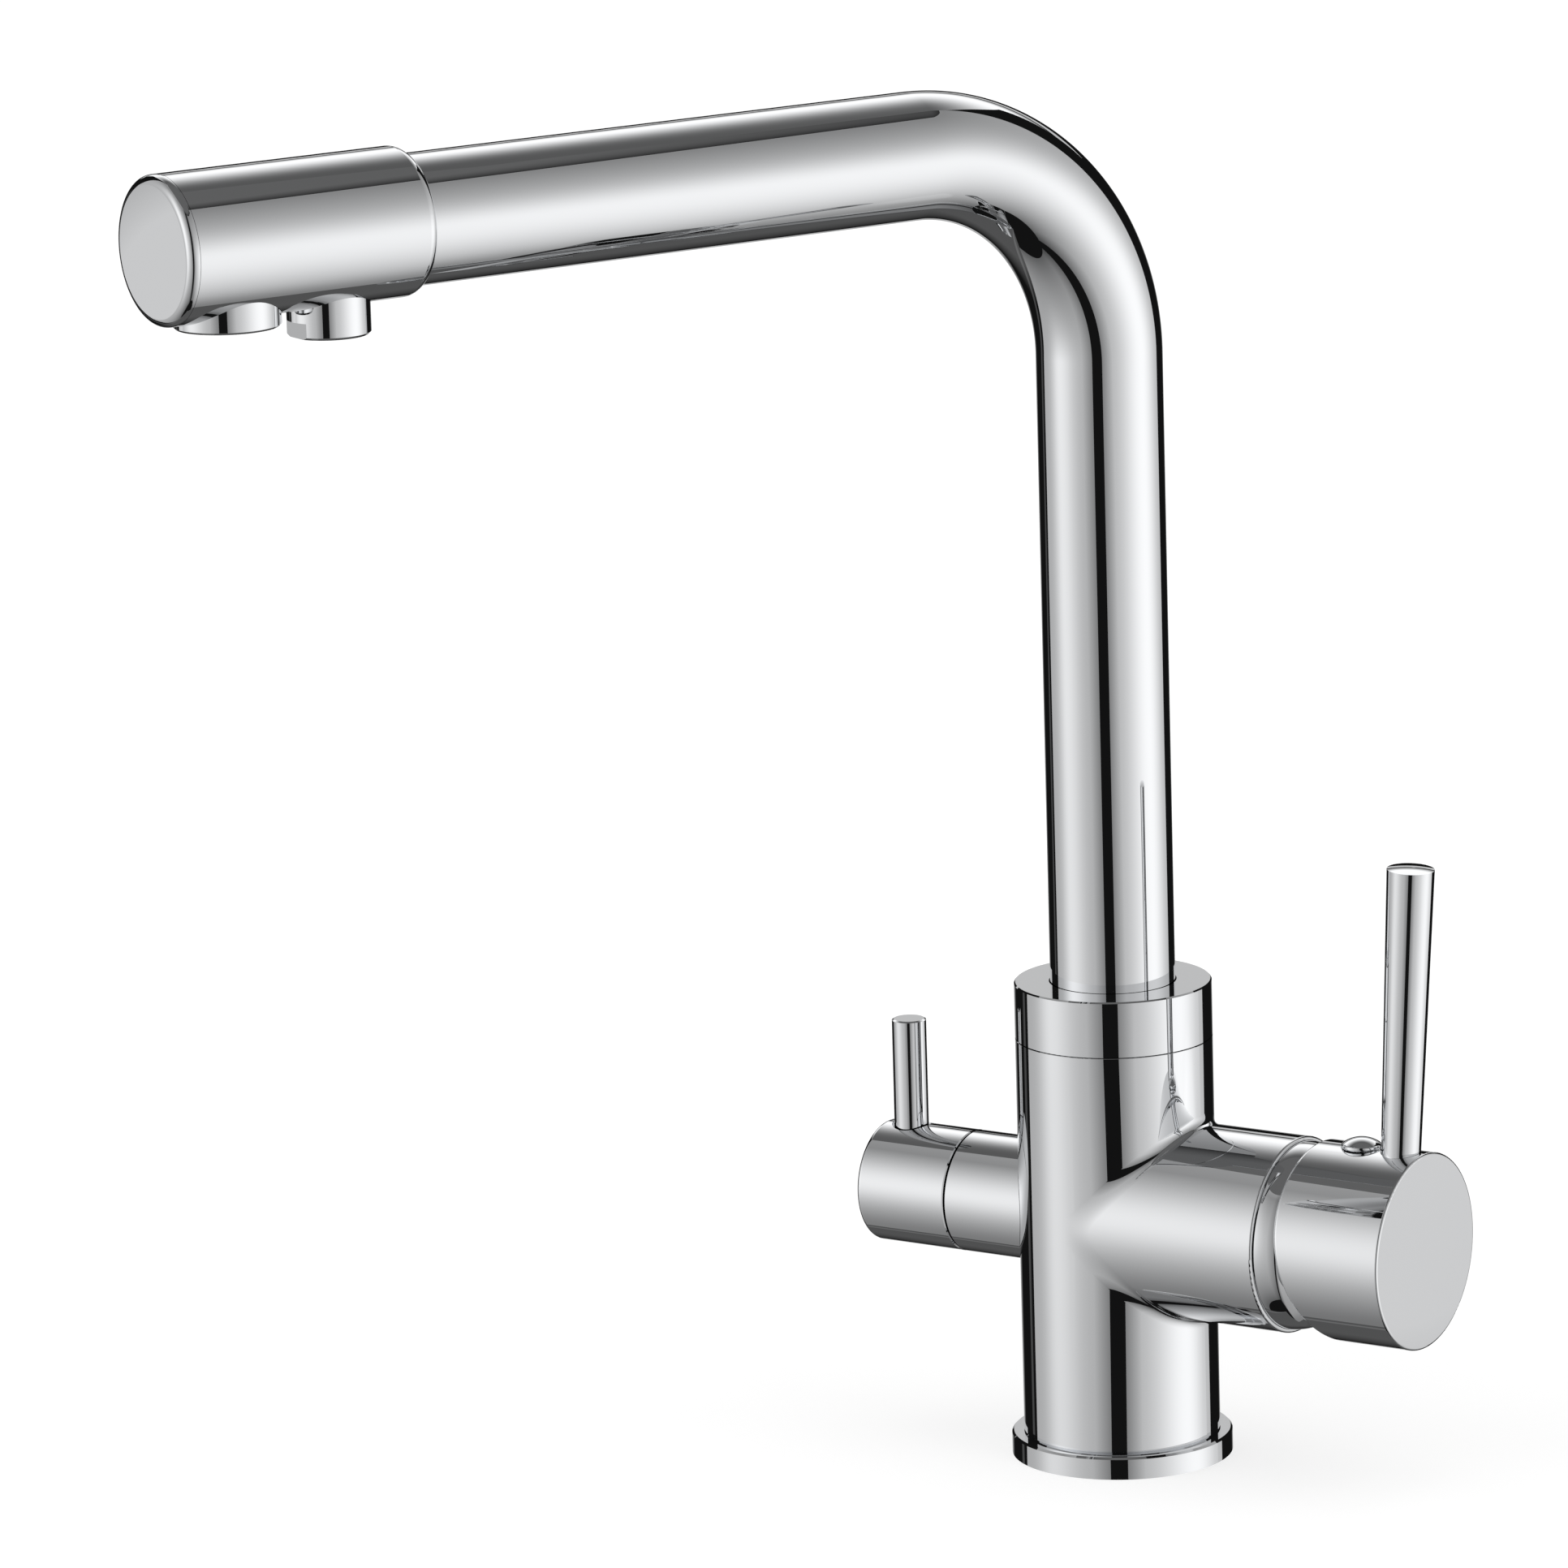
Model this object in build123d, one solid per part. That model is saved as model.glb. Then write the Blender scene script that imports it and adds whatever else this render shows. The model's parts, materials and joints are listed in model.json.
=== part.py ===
from build123d import *
from math import sqrt
import os

# A three way filtered water tap: one column, a single-lever mixer on its right, a quarter-turn valve
# for the filtered water on its left, and a swivelling spout whose nozzle has an outlet for each.
#
# Millimetres. The origin is on the worktop at the column's centre. +Z runs up the column, +X points
# to the mixer and -X to the filter valve. The spout is drawn over +X and turned to SPOUT_AZIMUTH.

# ---- driving dimensions -------------------------------------------------------------------------
BASE_RADIUS = 27.0
BASE_HEIGHT = 5.5
COLUMN_RADIUS = 24.0
COLUMN_TOP = 104.4
COLLAR_TOP = 118.3
VALVE_HEIGHT = 60.5            # both valves share this axis

MIXER_RADIUS = 23.9            # a hair under the column, as the casting is turned after it
MIXER_END = 51.2
JUNCTION_RADIUS = 2.0          # the cast blend between column and mixer housing
CAP_END = 85.6
CAP_REAR = 56.3                # the rear of the cap at its nearest to the column
CAP_REAR_SWEEP = 80.0          # radius of the wide arc that cuts the rear back towards the underside,
CAP_REAR_CREST = 15.0          # and how far above the valve axis that arc is nearest to the column
CAP_REAR_ROUNDING = 1.0
LEVER_FOOT = 78.0              # where the lever's own axis crosses the valve axis
LEVER_LEAN = 3.1               # degrees outwards
LEVER_LENGTH = 94.2            # from the valve axis
LEVER_FOOT_RADIUS = 4.8
LEVER_TOP_RADIUS = 5.75
PLUG_X = 68.5
PLUG_RADIUS = 4.85

FILTER_RADIUS = 15.0
FILTER_SEAM = 40.6             # distance of the sleeve's outer end from the column's axis
FILTER_GAP = 0.5
FILTER_END = 66.1
FILTER_LEVER_X = 58.8
FILTER_LEVER_RADIUS = 4.25
FILTER_LEVER_TOP = 102.1

SPOUT_RADIUS = 15.2
SPOUT_WALL = 1.2
SPOUT_HEIGHT = 325.3           # the arm's axis
SPOUT_BEND = 53.0              # radius of the bend's centre line
SPOUT_AZIMUTH = -114.3         # degrees from +X
NOZZLE_RADIUS = 17.3
NOZZLE_WALL = 2.0
NOZZLE_START = 190.8
NOZZLE_END = 255.8
MAIN_OUTLET = 237.5            # distance of each outlet from the column's axis
MAIN_OUTLET_RADIUS = 12.3
MAIN_OUTLET_DROP = 19.0        # how far each outlet reaches below the arm's axis
FILTER_OUTLET = 211.2
FILTER_OUTLET_RADIUS = 9.6
FILTER_OUTLET_DROP = 23.8
WRENCH_FLATS = 17.0            # across the two flats at the filtered outlet's rim
WRENCH_FLAT_HEIGHT = 3.8

# ---- fits and small sizes -----------------------------------------------------------------------
SLIP = 0.1                     # radial room between pieces that slide or turn
EDGE = 0.35                    # the small break on machined outer edges
SEAM_EDGE = 0.1                # the finer break where two polished pieces meet flush

# ---- water and fastening holes in the casting -----------------------------------------------------
STUD_RADIUS = 3.4              # tapping size of M8
STUD_DEPTH = 14.0
INLET_RADIUS = 4.5             # tapping size of M10 x 1
INLET_DEPTH = 10.0
SPIGOT_RADIUS = 20.5           # the casting's foot, which centres the base ring
SPIGOT_BOTTOM = 1.5
HOT_COLD_X = 8.2
HOT_COLD_Y = 9.2
FILTER_INLET_X = -11.5
PASSAGE_RADIUS = 3.5

# ---- spout socket in the column -------------------------------------------------------------------
SOCKET_RADIUS = 17.0
SOCKET_BOTTOM = 84.0
NECK_RADIUS = 20.4             # the threaded neck that carries the collar nut
NECK_TOP = 113.4
COLLAR_CEILING = 114.0
FOOT_BOTTOM = 86.0
FOOT_SHOULDER = 112.4
FOOT_BORE = 12.5
FILTER_SPIGOT_RADIUS = 3.2
FILTER_SPIGOT_BOTTOM = 73.0
FOOT_HUB = (88.5, 92.0)        # the spider that holds the filtered-water spigot

# ---- mixing cartridge, in distances from the column's axis ------------------------------------------
SEAT_X = 13.0
CARTRIDGE_RADIUS = 17.5
CARTRIDGE_BASE = (13.4, 16.1)
FIXED_DISC = (16.2, 19.0)
MOVING_DISC = (19.0, 22.0)
CARRIER = (22.0, 25.8)
ROTOR_FLOOR = 26.0
ROTOR_SHOULDER = 34.3
CARTRIDGE_SHOULDER = 36.2
CARTRIDGE_NECK = 44.0
ROTOR_TOP = 47.0
TILT_X = 42.0                  # the pin about which the lever tilts
TILT_PIN_RADIUS = 1.5
NUT = (36.3, 43.0, 48.5)       # thread start, thread end, hexagon end
SHROUD_START = 45.5
SHROUD_RADIUS = 22.9
SHROUD_DOME = 26.0             # sphere about the tilt pin, so that the cap swings round it
SHROUD_MOUTH = 18.6
SHROUD_WALL = 1.3
CAP_BORE = 22.2
CAP_FLOOR = 66.0
PLUG_SEAT = 22.8               # depth of the plug's seat in the cap, from the valve axis
STEM_END = 73.0
STEM_WIDTH = 6.6
STEM_HEIGHT = 6.8
BALL_X = 25.2
BALL_RADIUS = 2.5
DISC_OFFSET = -2.9             # the moving disc's place when the lever is closed
HOT_COLD_PORT = (7.0, -6.0, 2.8)     # y, height from the valve axis, radius
MIXED_PORT = (0.0, 8.5, 3.4)

# ---- filter headwork, in distances from the column's axis towards -X --------------------------------
BOSS_RADIUS = 12.4
BOSS_END = 33.0
HEADWORK_BORE = 8.6
HEADWORK_SEAT = 19.0
HEADWORK_HEX = 19.0            # across flats
SPINDLE_RADIUS = 3.5
SPINDLE_END = 61.2
KNOB_BORE = 12.6
KNOB_FLOOR = 51.0


# ---- drawing helpers --------------------------------------------------------------------------------
def turned(points):
    """A solid of revolution about Z from its half section, given as (radius, height) points."""
    section = Plane.XZ * make_face(Polyline([(r, h) for r, h in points], close=True))
    return revolve(section, Axis.Z)


def disc(radius, low, high):
    """A plain cylinder on Z between two heights."""
    return Pos(0, 0, low) * Cylinder(radius, high - low, align=(Align.CENTER, Align.CENTER, Align.MIN))


def ring(outer, inner, low, high):
    """A flat ring on Z between two heights."""
    return disc(outer, low, high) - disc(inner, low - 1, high + 1)


def o_ring(centre_radius, thickness, height):
    """A rubber ring of round section about Z."""
    return Pos(0, 0, height) * Torus(centre_radius, thickness / 2)


def crowned(outline, radius, rim, crown):
    """A solid of revolution about Z whose open outline is closed over the top by a shallow dome."""
    height = crown - rim
    sphere = (radius ** 2 + height ** 2) / (2 * height)
    halfway = (radius / 2, crown - sphere + sqrt(sphere ** 2 - radius ** 2 / 4))
    dome = ThreePointArc((radius, rim), halfway, (0, crown))
    sides = Polyline(outline + [(radius, rim)])
    axis = Line((0, crown), outline[0])
    return revolve(Plane.XZ * make_face(Wire([*sides.edges(), dome, axis])), Axis.Z)


def to_mixer(shape):
    """Stands a piece drawn on Z along the valve axis, so that its +Z points to +X."""
    return Pos(0, 0, VALVE_HEIGHT) * Rot(0, 90, 0) * shape


def to_filter(shape):
    """Stands a piece drawn on Z along the valve axis, so that its +Z points to -X."""
    return Pos(0, 0, VALVE_HEIGHT) * Rot(0, -90, 0) * shape


def hole_x(radius, x_low, x_high, y, height):
    """A drilling along X, placed by its y and its height from the valve axis."""
    drill = Rot(0, 90, 0) * disc(radius, x_low, x_high)
    return Pos(0, y, VALVE_HEIGHT + height) * drill


def at_nozzle(shape, distance):
    """Places a piece drawn about the arm's axis height at a distance along the arm."""
    return Pos(distance, 0, SPOUT_HEIGHT) * shape


def on_arm(radius, low, high):
    """A cylinder on the arm's own axis between two distances from the column."""
    return Pos(0, 0, SPOUT_HEIGHT) * Rot(0, 90, 0) * disc(radius, low, high)


def eased(shape, radius, height, size=EDGE):
    """Breaks the circular edges of a piece on Z that have this radius and lie at this height."""
    edges = [
        edge
        for edge in shape.edges().filter_by(GeomType.CIRCLE)
        if abs(edge.radius - radius) < 0.01 and abs(edge.center().Z - height) < 0.01
    ]
    return chamfer(edges, size)


# ---- column and base --------------------------------------------------------------------------------
def base_ring():
    shape = ring(BASE_RADIUS, SPIGOT_RADIUS + SLIP, 0, BASE_HEIGHT)
    shape = eased(shape, BASE_RADIUS, BASE_HEIGHT, 0.5)
    return shape - ring(25.0, 22.0, 0, 1.6)


def base_seal():
    return ring(25.0 - SLIP, 22.0 + SLIP, 0, 1.5)


def casting_outside():
    column = disc(COLUMN_RADIUS, BASE_HEIGHT, COLUMN_TOP)
    housing = to_mixer(disc(MIXER_RADIUS, 0, MIXER_END))
    tee = column + housing
    seam = [edge for edge in tee.edges() if edge.geom_type not in (GeomType.CIRCLE, GeomType.LINE)]
    tee = fillet(seam, JUNCTION_RADIUS)
    tee = eased(tee, COLUMN_RADIUS, BASE_HEIGHT, 0.5)
    tee = eased(tee, COLUMN_RADIUS, COLUMN_TOP, SEAM_EDGE)
    lip = tee.faces().sort_by(Axis.X)[-1].edges()
    tee = fillet(lip, 0.6)
    foot = disc(SPIGOT_RADIUS, SPIGOT_BOTTOM, BASE_HEIGHT + 1)
    neck = eased(disc(NECK_RADIUS, COLUMN_TOP - 1, NECK_TOP), NECK_RADIUS, NECK_TOP, 0.8)
    boss = to_filter(disc(BOSS_RADIUS, 0, BOSS_END))
    return tee + foot + neck + boss


def casting_waterways():
    """Every bore and drilling of the casting, as solids to be cut away."""
    cuts = [disc(STUD_RADIUS, SPIGOT_BOTTOM - 1, SPIGOT_BOTTOM + STUD_DEPTH)]
    inlet_top = SPIGOT_BOTTOM + INLET_DEPTH
    # hot and cold: up from the foot, then across into the cartridge seat
    port_y, port_height, port_radius = HOT_COLD_PORT
    for side in (1, -1):
        place = Pos(HOT_COLD_X, side * HOT_COLD_Y, 0)
        cuts.append(place * disc(INLET_RADIUS, SPIGOT_BOTTOM - 1, inlet_top))
        cuts.append(place * disc(PASSAGE_RADIUS, inlet_top - 1, VALVE_HEIGHT - 3))
        cuts.append(hole_x(port_radius, HOT_COLD_X, SEAT_X + 1, side * port_y, port_height))
        cuts.append(hole_x(1.3, SEAT_X - 1.8, SEAT_X + 1, side * 14.0, 0))
    # mixed water: back from the seat and up into the spout socket
    port_y, port_height, port_radius = MIXED_PORT
    cuts.append(hole_x(port_radius, HOT_COLD_X, SEAT_X + 1, port_y, port_height))
    mixed_low = VALVE_HEIGHT + port_height - 2
    cuts.append(Pos(HOT_COLD_X, 0, 0) * disc(3.6, mixed_low, SOCKET_BOTTOM + 1))
    # filtered water: up to the headwork, out of its annulus and into the middle of the spout socket
    place = Pos(FILTER_INLET_X, 0, 0)
    cuts.append(place * disc(INLET_RADIUS, SPIGOT_BOTTOM - 1, inlet_top))
    cuts.append(place * disc(PASSAGE_RADIUS, inlet_top - 1, VALVE_HEIGHT + 3.2))
    cuts.append(hole_x(3.0, -HEADWORK_SEAT - 1, FILTER_INLET_X, 0, 0))
    cuts.append(hole_x(1.5, -HEADWORK_SEAT - 1, -8.0, 0, 7.0))
    cuts.append(Pos(-8.0, 0, 0) * disc(2.2, VALVE_HEIGHT + 6.0, VALVE_HEIGHT + 17.0))
    cuts.append(hole_x(2.2, -8.0, 0, 0, 15.0))
    cuts.append(disc(FILTER_SPIGOT_RADIUS + SLIP, 72.0, SOCKET_BOTTOM + 1))
    # the stepped bores for the spout, the cartridge and the headwork
    cuts.append(disc(SOCKET_RADIUS, SOCKET_BOTTOM, NECK_TOP + 1))
    cuts.append(to_mixer(disc(CARTRIDGE_RADIUS + SLIP, SEAT_X, MIXER_END + 1)))
    cuts.append(to_mixer(disc(NECK_RADIUS, CARTRIDGE_SHOULDER - 0.2, MIXER_END + 1)))
    cuts.append(to_mixer(disc(SHROUD_RADIUS + SLIP, SHROUD_START, MIXER_END + 1)))
    cuts.append(to_filter(disc(HEADWORK_BORE, HEADWORK_SEAT, BOSS_END + 1)))
    return cuts


def body_casting():
    shape = casting_outside()
    for cut in casting_waterways():
        shape = shape - cut
    return shape


def collar_nut():
    shape = disc(COLUMN_RADIUS, COLUMN_TOP + 0.15, COLLAR_TOP)
    shape = eased(shape, COLUMN_RADIUS, COLUMN_TOP + 0.15, SEAM_EDGE)
    shape = eased(shape, COLUMN_RADIUS, COLLAR_TOP)
    shape = shape - disc(NECK_RADIUS + SLIP, 0, COLLAR_CEILING)
    return shape - disc(SPOUT_RADIUS + 0.3, 0, COLLAR_TOP + 1)


def upper_glide_ring():
    return ring(SOCKET_RADIUS - 0.2, SPOUT_RADIUS + SLIP, FOOT_SHOULDER + 0.1, COLLAR_CEILING - 0.1)


# ---- mixing cartridge and its housing ---------------------------------------------------------------
def port_discs(low, high, grow=0.0):
    """The three water ways through the cartridge, as short cylinders on the mixer axis."""
    port_y, port_height, port_radius = HOT_COLD_PORT
    shapes = [hole_x(port_radius + grow, low, high, side * port_y, port_height) for side in (1, -1)]
    port_y, port_height, port_radius = MIXED_PORT
    return shapes + [hole_x(port_radius + grow, low, high, port_y, port_height)]


def cartridge_seals():
    rings = port_discs(SEAT_X, CARTRIDGE_BASE[0], 1.1)
    holes = port_discs(SEAT_X - 1, CARTRIDGE_BASE[0] + 1)
    return Compound(children=[outer - inner for outer, inner in zip(rings, holes)])


def cartridge_base():
    low, high = CARTRIDGE_BASE
    shape = to_mixer(disc(CARTRIDGE_RADIUS, low, high))
    for port in port_discs(low - 1, high + 1):
        shape = shape - port
    for side in (1, -1):
        shape = shape + hole_x(1.2, low - 1.6, low + 1, side * 14.0, 0)
    return shape


def fixed_ceramic_disc():
    low, high = FIXED_DISC
    shape = to_mixer(disc(15.9, low, high))
    for port in port_discs(low - 1, high + 1):
        shape = shape - port
    return shape


def cartridge_housing():
    return to_mixer(turned([
        (CARTRIDGE_RADIUS, 16.2),
        (CARTRIDGE_RADIUS, CARTRIDGE_SHOULDER),
        (13.2, CARTRIDGE_SHOULDER),
        (13.2, CARTRIDGE_NECK),
        (9.1, CARTRIDGE_NECK),
        (9.1, ROTOR_SHOULDER + 0.2),
        (16.2, ROTOR_SHOULDER + 0.2),
        (16.2, 16.2),
    ]))


def moving_ceramic_disc():
    low, high = MOVING_DISC
    shape = disc(11.0, low, high) - disc(8.0, low, high - 1.0)
    return Pos(0, 0, DISC_OFFSET) * to_mixer(shape)


def disc_carrier():
    low, high = CARRIER
    plate = Pos(0, 0, DISC_OFFSET) * to_mixer(disc(11.0, low, high))
    reach = BALL_RADIUS + 0.25
    pocket = Box(high - low, 2 * reach, 2 * reach, align=(Align.MIN, Align.CENTER, Align.CENTER))
    return plate - Pos(low + 0.5, 0, VALVE_HEIGHT) * pocket


def cartridge_rotor():
    shape = to_mixer(disc(16.1, ROTOR_FLOOR, ROTOR_SHOULDER) + disc(9.0, ROTOR_SHOULDER - 1, ROTOR_TOP))
    # the slot lets the stem tilt outwards, so it opens downwards above the pin and upwards below it
    lower_slot = Box(10.0, 7.0, 13.2, align=(Align.MIN, Align.CENTER, Align.MIN))
    upper_slot = Box(14.0, 7.0, 12.8, align=(Align.MIN, Align.CENTER, Align.MIN))
    shape = shape - Pos(ROTOR_FLOOR - 1, 0, VALVE_HEIGHT - 3.6) * lower_slot
    shape = shape - Pos(ROTOR_FLOOR + 8.5, 0, VALVE_HEIGHT - 6.0) * upper_slot
    return shape - across_mixer(TILT_PIN_RADIUS, 20)


def across_mixer(radius, length):
    """A cylinder along Y through the point about which the lever tilts."""
    return Pos(TILT_X, 0, VALVE_HEIGHT) * Rot(90, 0, 0) * Cylinder(radius, length)


def tilt_pin():
    return across_mixer(TILT_PIN_RADIUS, 16.4)


def cartridge_nut():
    thread = disc(NECK_RADIUS - SLIP, NUT[0], NUT[1])
    outline = RegularPolygon(16.5, 6, major_radius=False)
    hexagon = extrude(Pos(0, 0, NUT[1]) * outline, NUT[2] - NUT[1])
    return to_mixer(thread + hexagon - disc(13.4, 0, NUT[2] + 1))


def dome_shroud():
    """The bright neck under the lever cap: a straight skirt that closes in a band of a sphere."""
    def band(radius, skirt, mouth):
        start = sqrt(radius ** 2 - skirt ** 2)
        end = sqrt(radius ** 2 - mouth ** 2)
        half = sqrt(radius ** 2 - ((skirt + mouth) / 2) ** 2)
        middle = ((skirt + mouth) / 2, TILT_X + half)
        return (skirt, TILT_X + start), middle, (mouth, TILT_X + end)

    outer_start, outer_middle, outer_end = band(SHROUD_DOME, SHROUD_RADIUS, SHROUD_MOUTH)
    inner_start, inner_middle, inner_end = band(
        SHROUD_DOME - SHROUD_WALL, SHROUD_RADIUS - SHROUD_WALL, SHROUD_MOUTH - 0.5
    )
    outline = [
        Line((SHROUD_RADIUS, SHROUD_START), outer_start),
        ThreePointArc(outer_start, outer_middle, outer_end),
        Line(outer_end, inner_end),
        ThreePointArc(inner_end, inner_middle, inner_start),
        Line(inner_start, (SHROUD_RADIUS - SHROUD_WALL, SHROUD_START)),
        Line((SHROUD_RADIUS - SHROUD_WALL, SHROUD_START), (SHROUD_RADIUS, SHROUD_START)),
    ]
    section = Plane.XZ * make_face(Wire(outline))
    return to_mixer(revolve(section, Axis.Z))


# ---- mixer lever ------------------------------------------------------------------------------------
def lever_axis(shape):
    """Stands a piece drawn on Z on the lever's own axis, which leans outwards from the valve axis."""
    return Pos(LEVER_FOOT, 0, VALVE_HEIGHT) * Rot(0, LEVER_LEAN, 0) * shape


def lever_cap():
    """A deep round cap, cut back behind along a wide arc so that its underside can swing inwards."""
    shape = to_mixer(disc(MIXER_RADIUS, CAP_REAR - 1, CAP_END))
    arc_centre = Pos(CAP_REAR + CAP_REAR_SWEEP, 0, VALVE_HEIGHT + CAP_REAR_CREST)
    shape = shape & arc_centre * Rot(90, 0, 0) * Cylinder(CAP_REAR_SWEEP, 60)
    behind = [edge for edge in shape.edges() if edge.center().X < CAP_FLOOR]
    shape = fillet([edge for edge in behind if edge.geom_type != GeomType.LINE], CAP_REAR_ROUNDING)
    shape = fillet(shape.faces().sort_by(Axis.X)[-1].edges(), 0.6)
    hollow = to_mixer(disc(CAP_BORE, CAP_REAR - 1, CAP_FLOOR))
    hollow = fillet(hollow.faces().sort_by(Axis.X)[-1].edges(), 3.0)
    shape = shape - hollow
    depth = STEM_END + 0.3 - CAP_FLOOR + 1
    size = (depth, STEM_WIDTH + SLIP, STEM_HEIGHT + SLIP)
    socket = Box(*size, align=(Align.MIN, Align.CENTER, Align.CENTER))
    shape = shape - Pos(CAP_FLOOR - 1, 0, VALVE_HEIGHT) * socket
    shape = shape - lever_axis(disc(3.0, 11.5, 30) + disc(LEVER_FOOT_RADIUS + SLIP, 23.4, 30))
    plug_seat = disc(2.05, 0, 30) + disc(PLUG_RADIUS + SLIP, PLUG_SEAT, 30)
    return shape - Pos(PLUG_X, 0, VALVE_HEIGHT) * plug_seat


def lever_rod():
    """A tapered rod with a slightly domed top and a screwed spigot at its foot."""
    foot = 23.4
    outline = [(0, 12.0), (2.9, 12.0), (2.9, foot), (LEVER_FOOT_RADIUS, foot)]
    return lever_axis(crowned(outline, LEVER_TOP_RADIUS, LEVER_LENGTH - 0.5, LEVER_LENGTH))


def lever_stem():
    bar = Box(STEM_END - 28.0, STEM_WIDTH, STEM_HEIGHT, align=(Align.MIN, Align.CENTER, Align.CENTER))
    neck = Rot(0, 90, 0) * disc(2.0, BALL_X, 29.0)
    shape = Pos(28.0, 0, 0) * bar + neck + Pos(BALL_X, 0, 0) * Sphere(BALL_RADIUS)
    return Pos(0, 0, VALVE_HEIGHT) * shape - across_mixer(TILT_PIN_RADIUS + 0.05, 20)


def grub_screw():
    screw = disc(2.0, STEM_HEIGHT / 2, 14.0)
    key = extrude(Pos(0, 0, 11.5) * RegularPolygon(1.25, 6, major_radius=False), 4)
    return Pos(PLUG_X, 0, VALVE_HEIGHT) * (screw - key)


def index_plug():
    """The button that hides the grub screw: a shallow dome on a short skirt and a stub."""
    skirt = PLUG_SEAT + 0.1
    outline = [(0, 16.0), (1.9, 16.0), (1.9, skirt), (PLUG_RADIUS - 0.3, skirt), (PLUG_RADIUS, skirt + 0.3)]
    plug = crowned(outline, PLUG_RADIUS, MIXER_RADIUS, MIXER_RADIUS + 2.4)
    return Pos(PLUG_X, 0, VALVE_HEIGHT) * plug


# ---- filter valve -----------------------------------------------------------------------------------
def filter_valve_sleeve():
    tube = ring(FILTER_RADIUS, BOSS_RADIUS + SLIP, 10, FILTER_SEAM)
    tube = eased(tube, FILTER_RADIUS, FILTER_SEAM, 0.25)
    return to_filter(tube) - disc(COLUMN_RADIUS + 0.05, 0, COLUMN_TOP)


def filter_headwork():
    shape = turned([
        (4.2, 19.8),
        (5.4, 19.8),
        (5.4, 21.0),
        (7.9, 21.0),
        (7.9, 28.6),
        (HEADWORK_BORE - SLIP, 28.6),
        (HEADWORK_BORE - SLIP, BOSS_END + 0.1),
        (7.0, BOSS_END + 0.1),
        (7.0, 50.0),
        (SPINDLE_RADIUS + SLIP, 50.0),
        (SPINDLE_RADIUS + SLIP, 28.5),
        (6.8, 28.5),
        (6.8, 22.0),
        (4.2, 22.0),
    ])
    flats = extrude(Pos(0, 0, BOSS_END + 0.1) * RegularPolygon(HEADWORK_HEX / 2, 6, major_radius=False), 4.8)
    shape = shape + (flats - disc(SPINDLE_RADIUS + SLIP, 0, 60))
    window = Pos(0, 0, 27.2) * Box(5.0, 20, 1.8)
    return to_filter(shape - window)


def headwork_seal():
    return to_filter(ring(5.4, 4.2, HEADWORK_SEAT, 19.8))


def filter_fixed_disc():
    half = Pos(0, 2.7, 23.0) * Box(5.0, 3.0, 4)
    return to_filter(disc(6.7, 22.0, 24.0) - half - mirror(half, Plane.XZ))


def filter_moving_disc():
    half = Pos(2.7, 0, 25.0) * Box(3.0, 5.0, 4)
    return to_filter(disc(6.7, 24.0, 26.0) - half - mirror(half, Plane.YZ))


def filter_spindle():
    foot = disc(6.7, 26.0, 28.4) - Pos(0, 0, 26.8) * (Box(20, 4.0, 2.0) - disc(3.0, -5, 5))
    shaft = disc(SPINDLE_RADIUS, 28.0, SPINDLE_END)
    return to_filter(foot + shaft - ring(5.0, 2.65, 41.0, 42.8))


def spindle_seal():
    return to_filter(ring(SPINDLE_RADIUS + SLIP - 0.02, 2.7, 41.1, 42.7))


def filter_knob():
    start = FILTER_SEAM + FILTER_GAP
    shape = disc(FILTER_RADIUS, start, FILTER_END)
    shape = fillet(shape.faces().sort_by(Axis.Z)[-1].edges(), 1.2)
    shape = eased(shape, FILTER_RADIUS, start, 0.25)
    shape = shape - disc(KNOB_BORE, 0, KNOB_FLOOR) - disc(SPINDLE_RADIUS + 0.05, 0, SPINDLE_END + 0.3)
    lever_seat = disc(2.5, 3.0, 20) + disc(FILTER_LEVER_RADIUS + 0.6, FILTER_RADIUS - 1.4, 20)
    return to_filter(shape) - Pos(-FILTER_LEVER_X, 0, VALVE_HEIGHT) * lever_seat


def filter_lever():
    """A plain round lever whose screwed end clamps the knob on the spindle."""
    top = FILTER_LEVER_TOP - VALVE_HEIGHT
    foot = FILTER_RADIUS - 1.4
    shape = turned([
        (0, SPINDLE_RADIUS + 0.05),
        (2.4, SPINDLE_RADIUS + 0.05),
        (2.4, foot),
        (FILTER_LEVER_RADIUS, foot),
        (FILTER_LEVER_RADIUS, top - 0.3),
        (FILTER_LEVER_RADIUS - 0.5, top),
        (0, top),
    ])
    return Pos(-FILTER_LEVER_X, 0, VALVE_HEIGHT) * shape


# ---- spout ------------------------------------------------------------------------------------------
def arm_path(start_height, end_distance):
    """Up the column's axis, round the bend and out along the arm."""
    corner = (0, 0, SPOUT_HEIGHT)
    return FilletPolyline((0, 0, start_height), corner, (end_distance, 0, SPOUT_HEIGHT), radius=SPOUT_BEND)


def pipe(outer, inner, start_height, end_distance):
    path = arm_path(start_height, end_distance)
    section = Pos(0, 0, start_height) * (Circle(outer) - Circle(inner))
    return sweep(section, path=path)


def spout_tube():
    return pipe(SPOUT_RADIUS, SPOUT_RADIUS - SPOUT_WALL, FOOT_SHOULDER, NOZZLE_START + 9.0)


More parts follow.
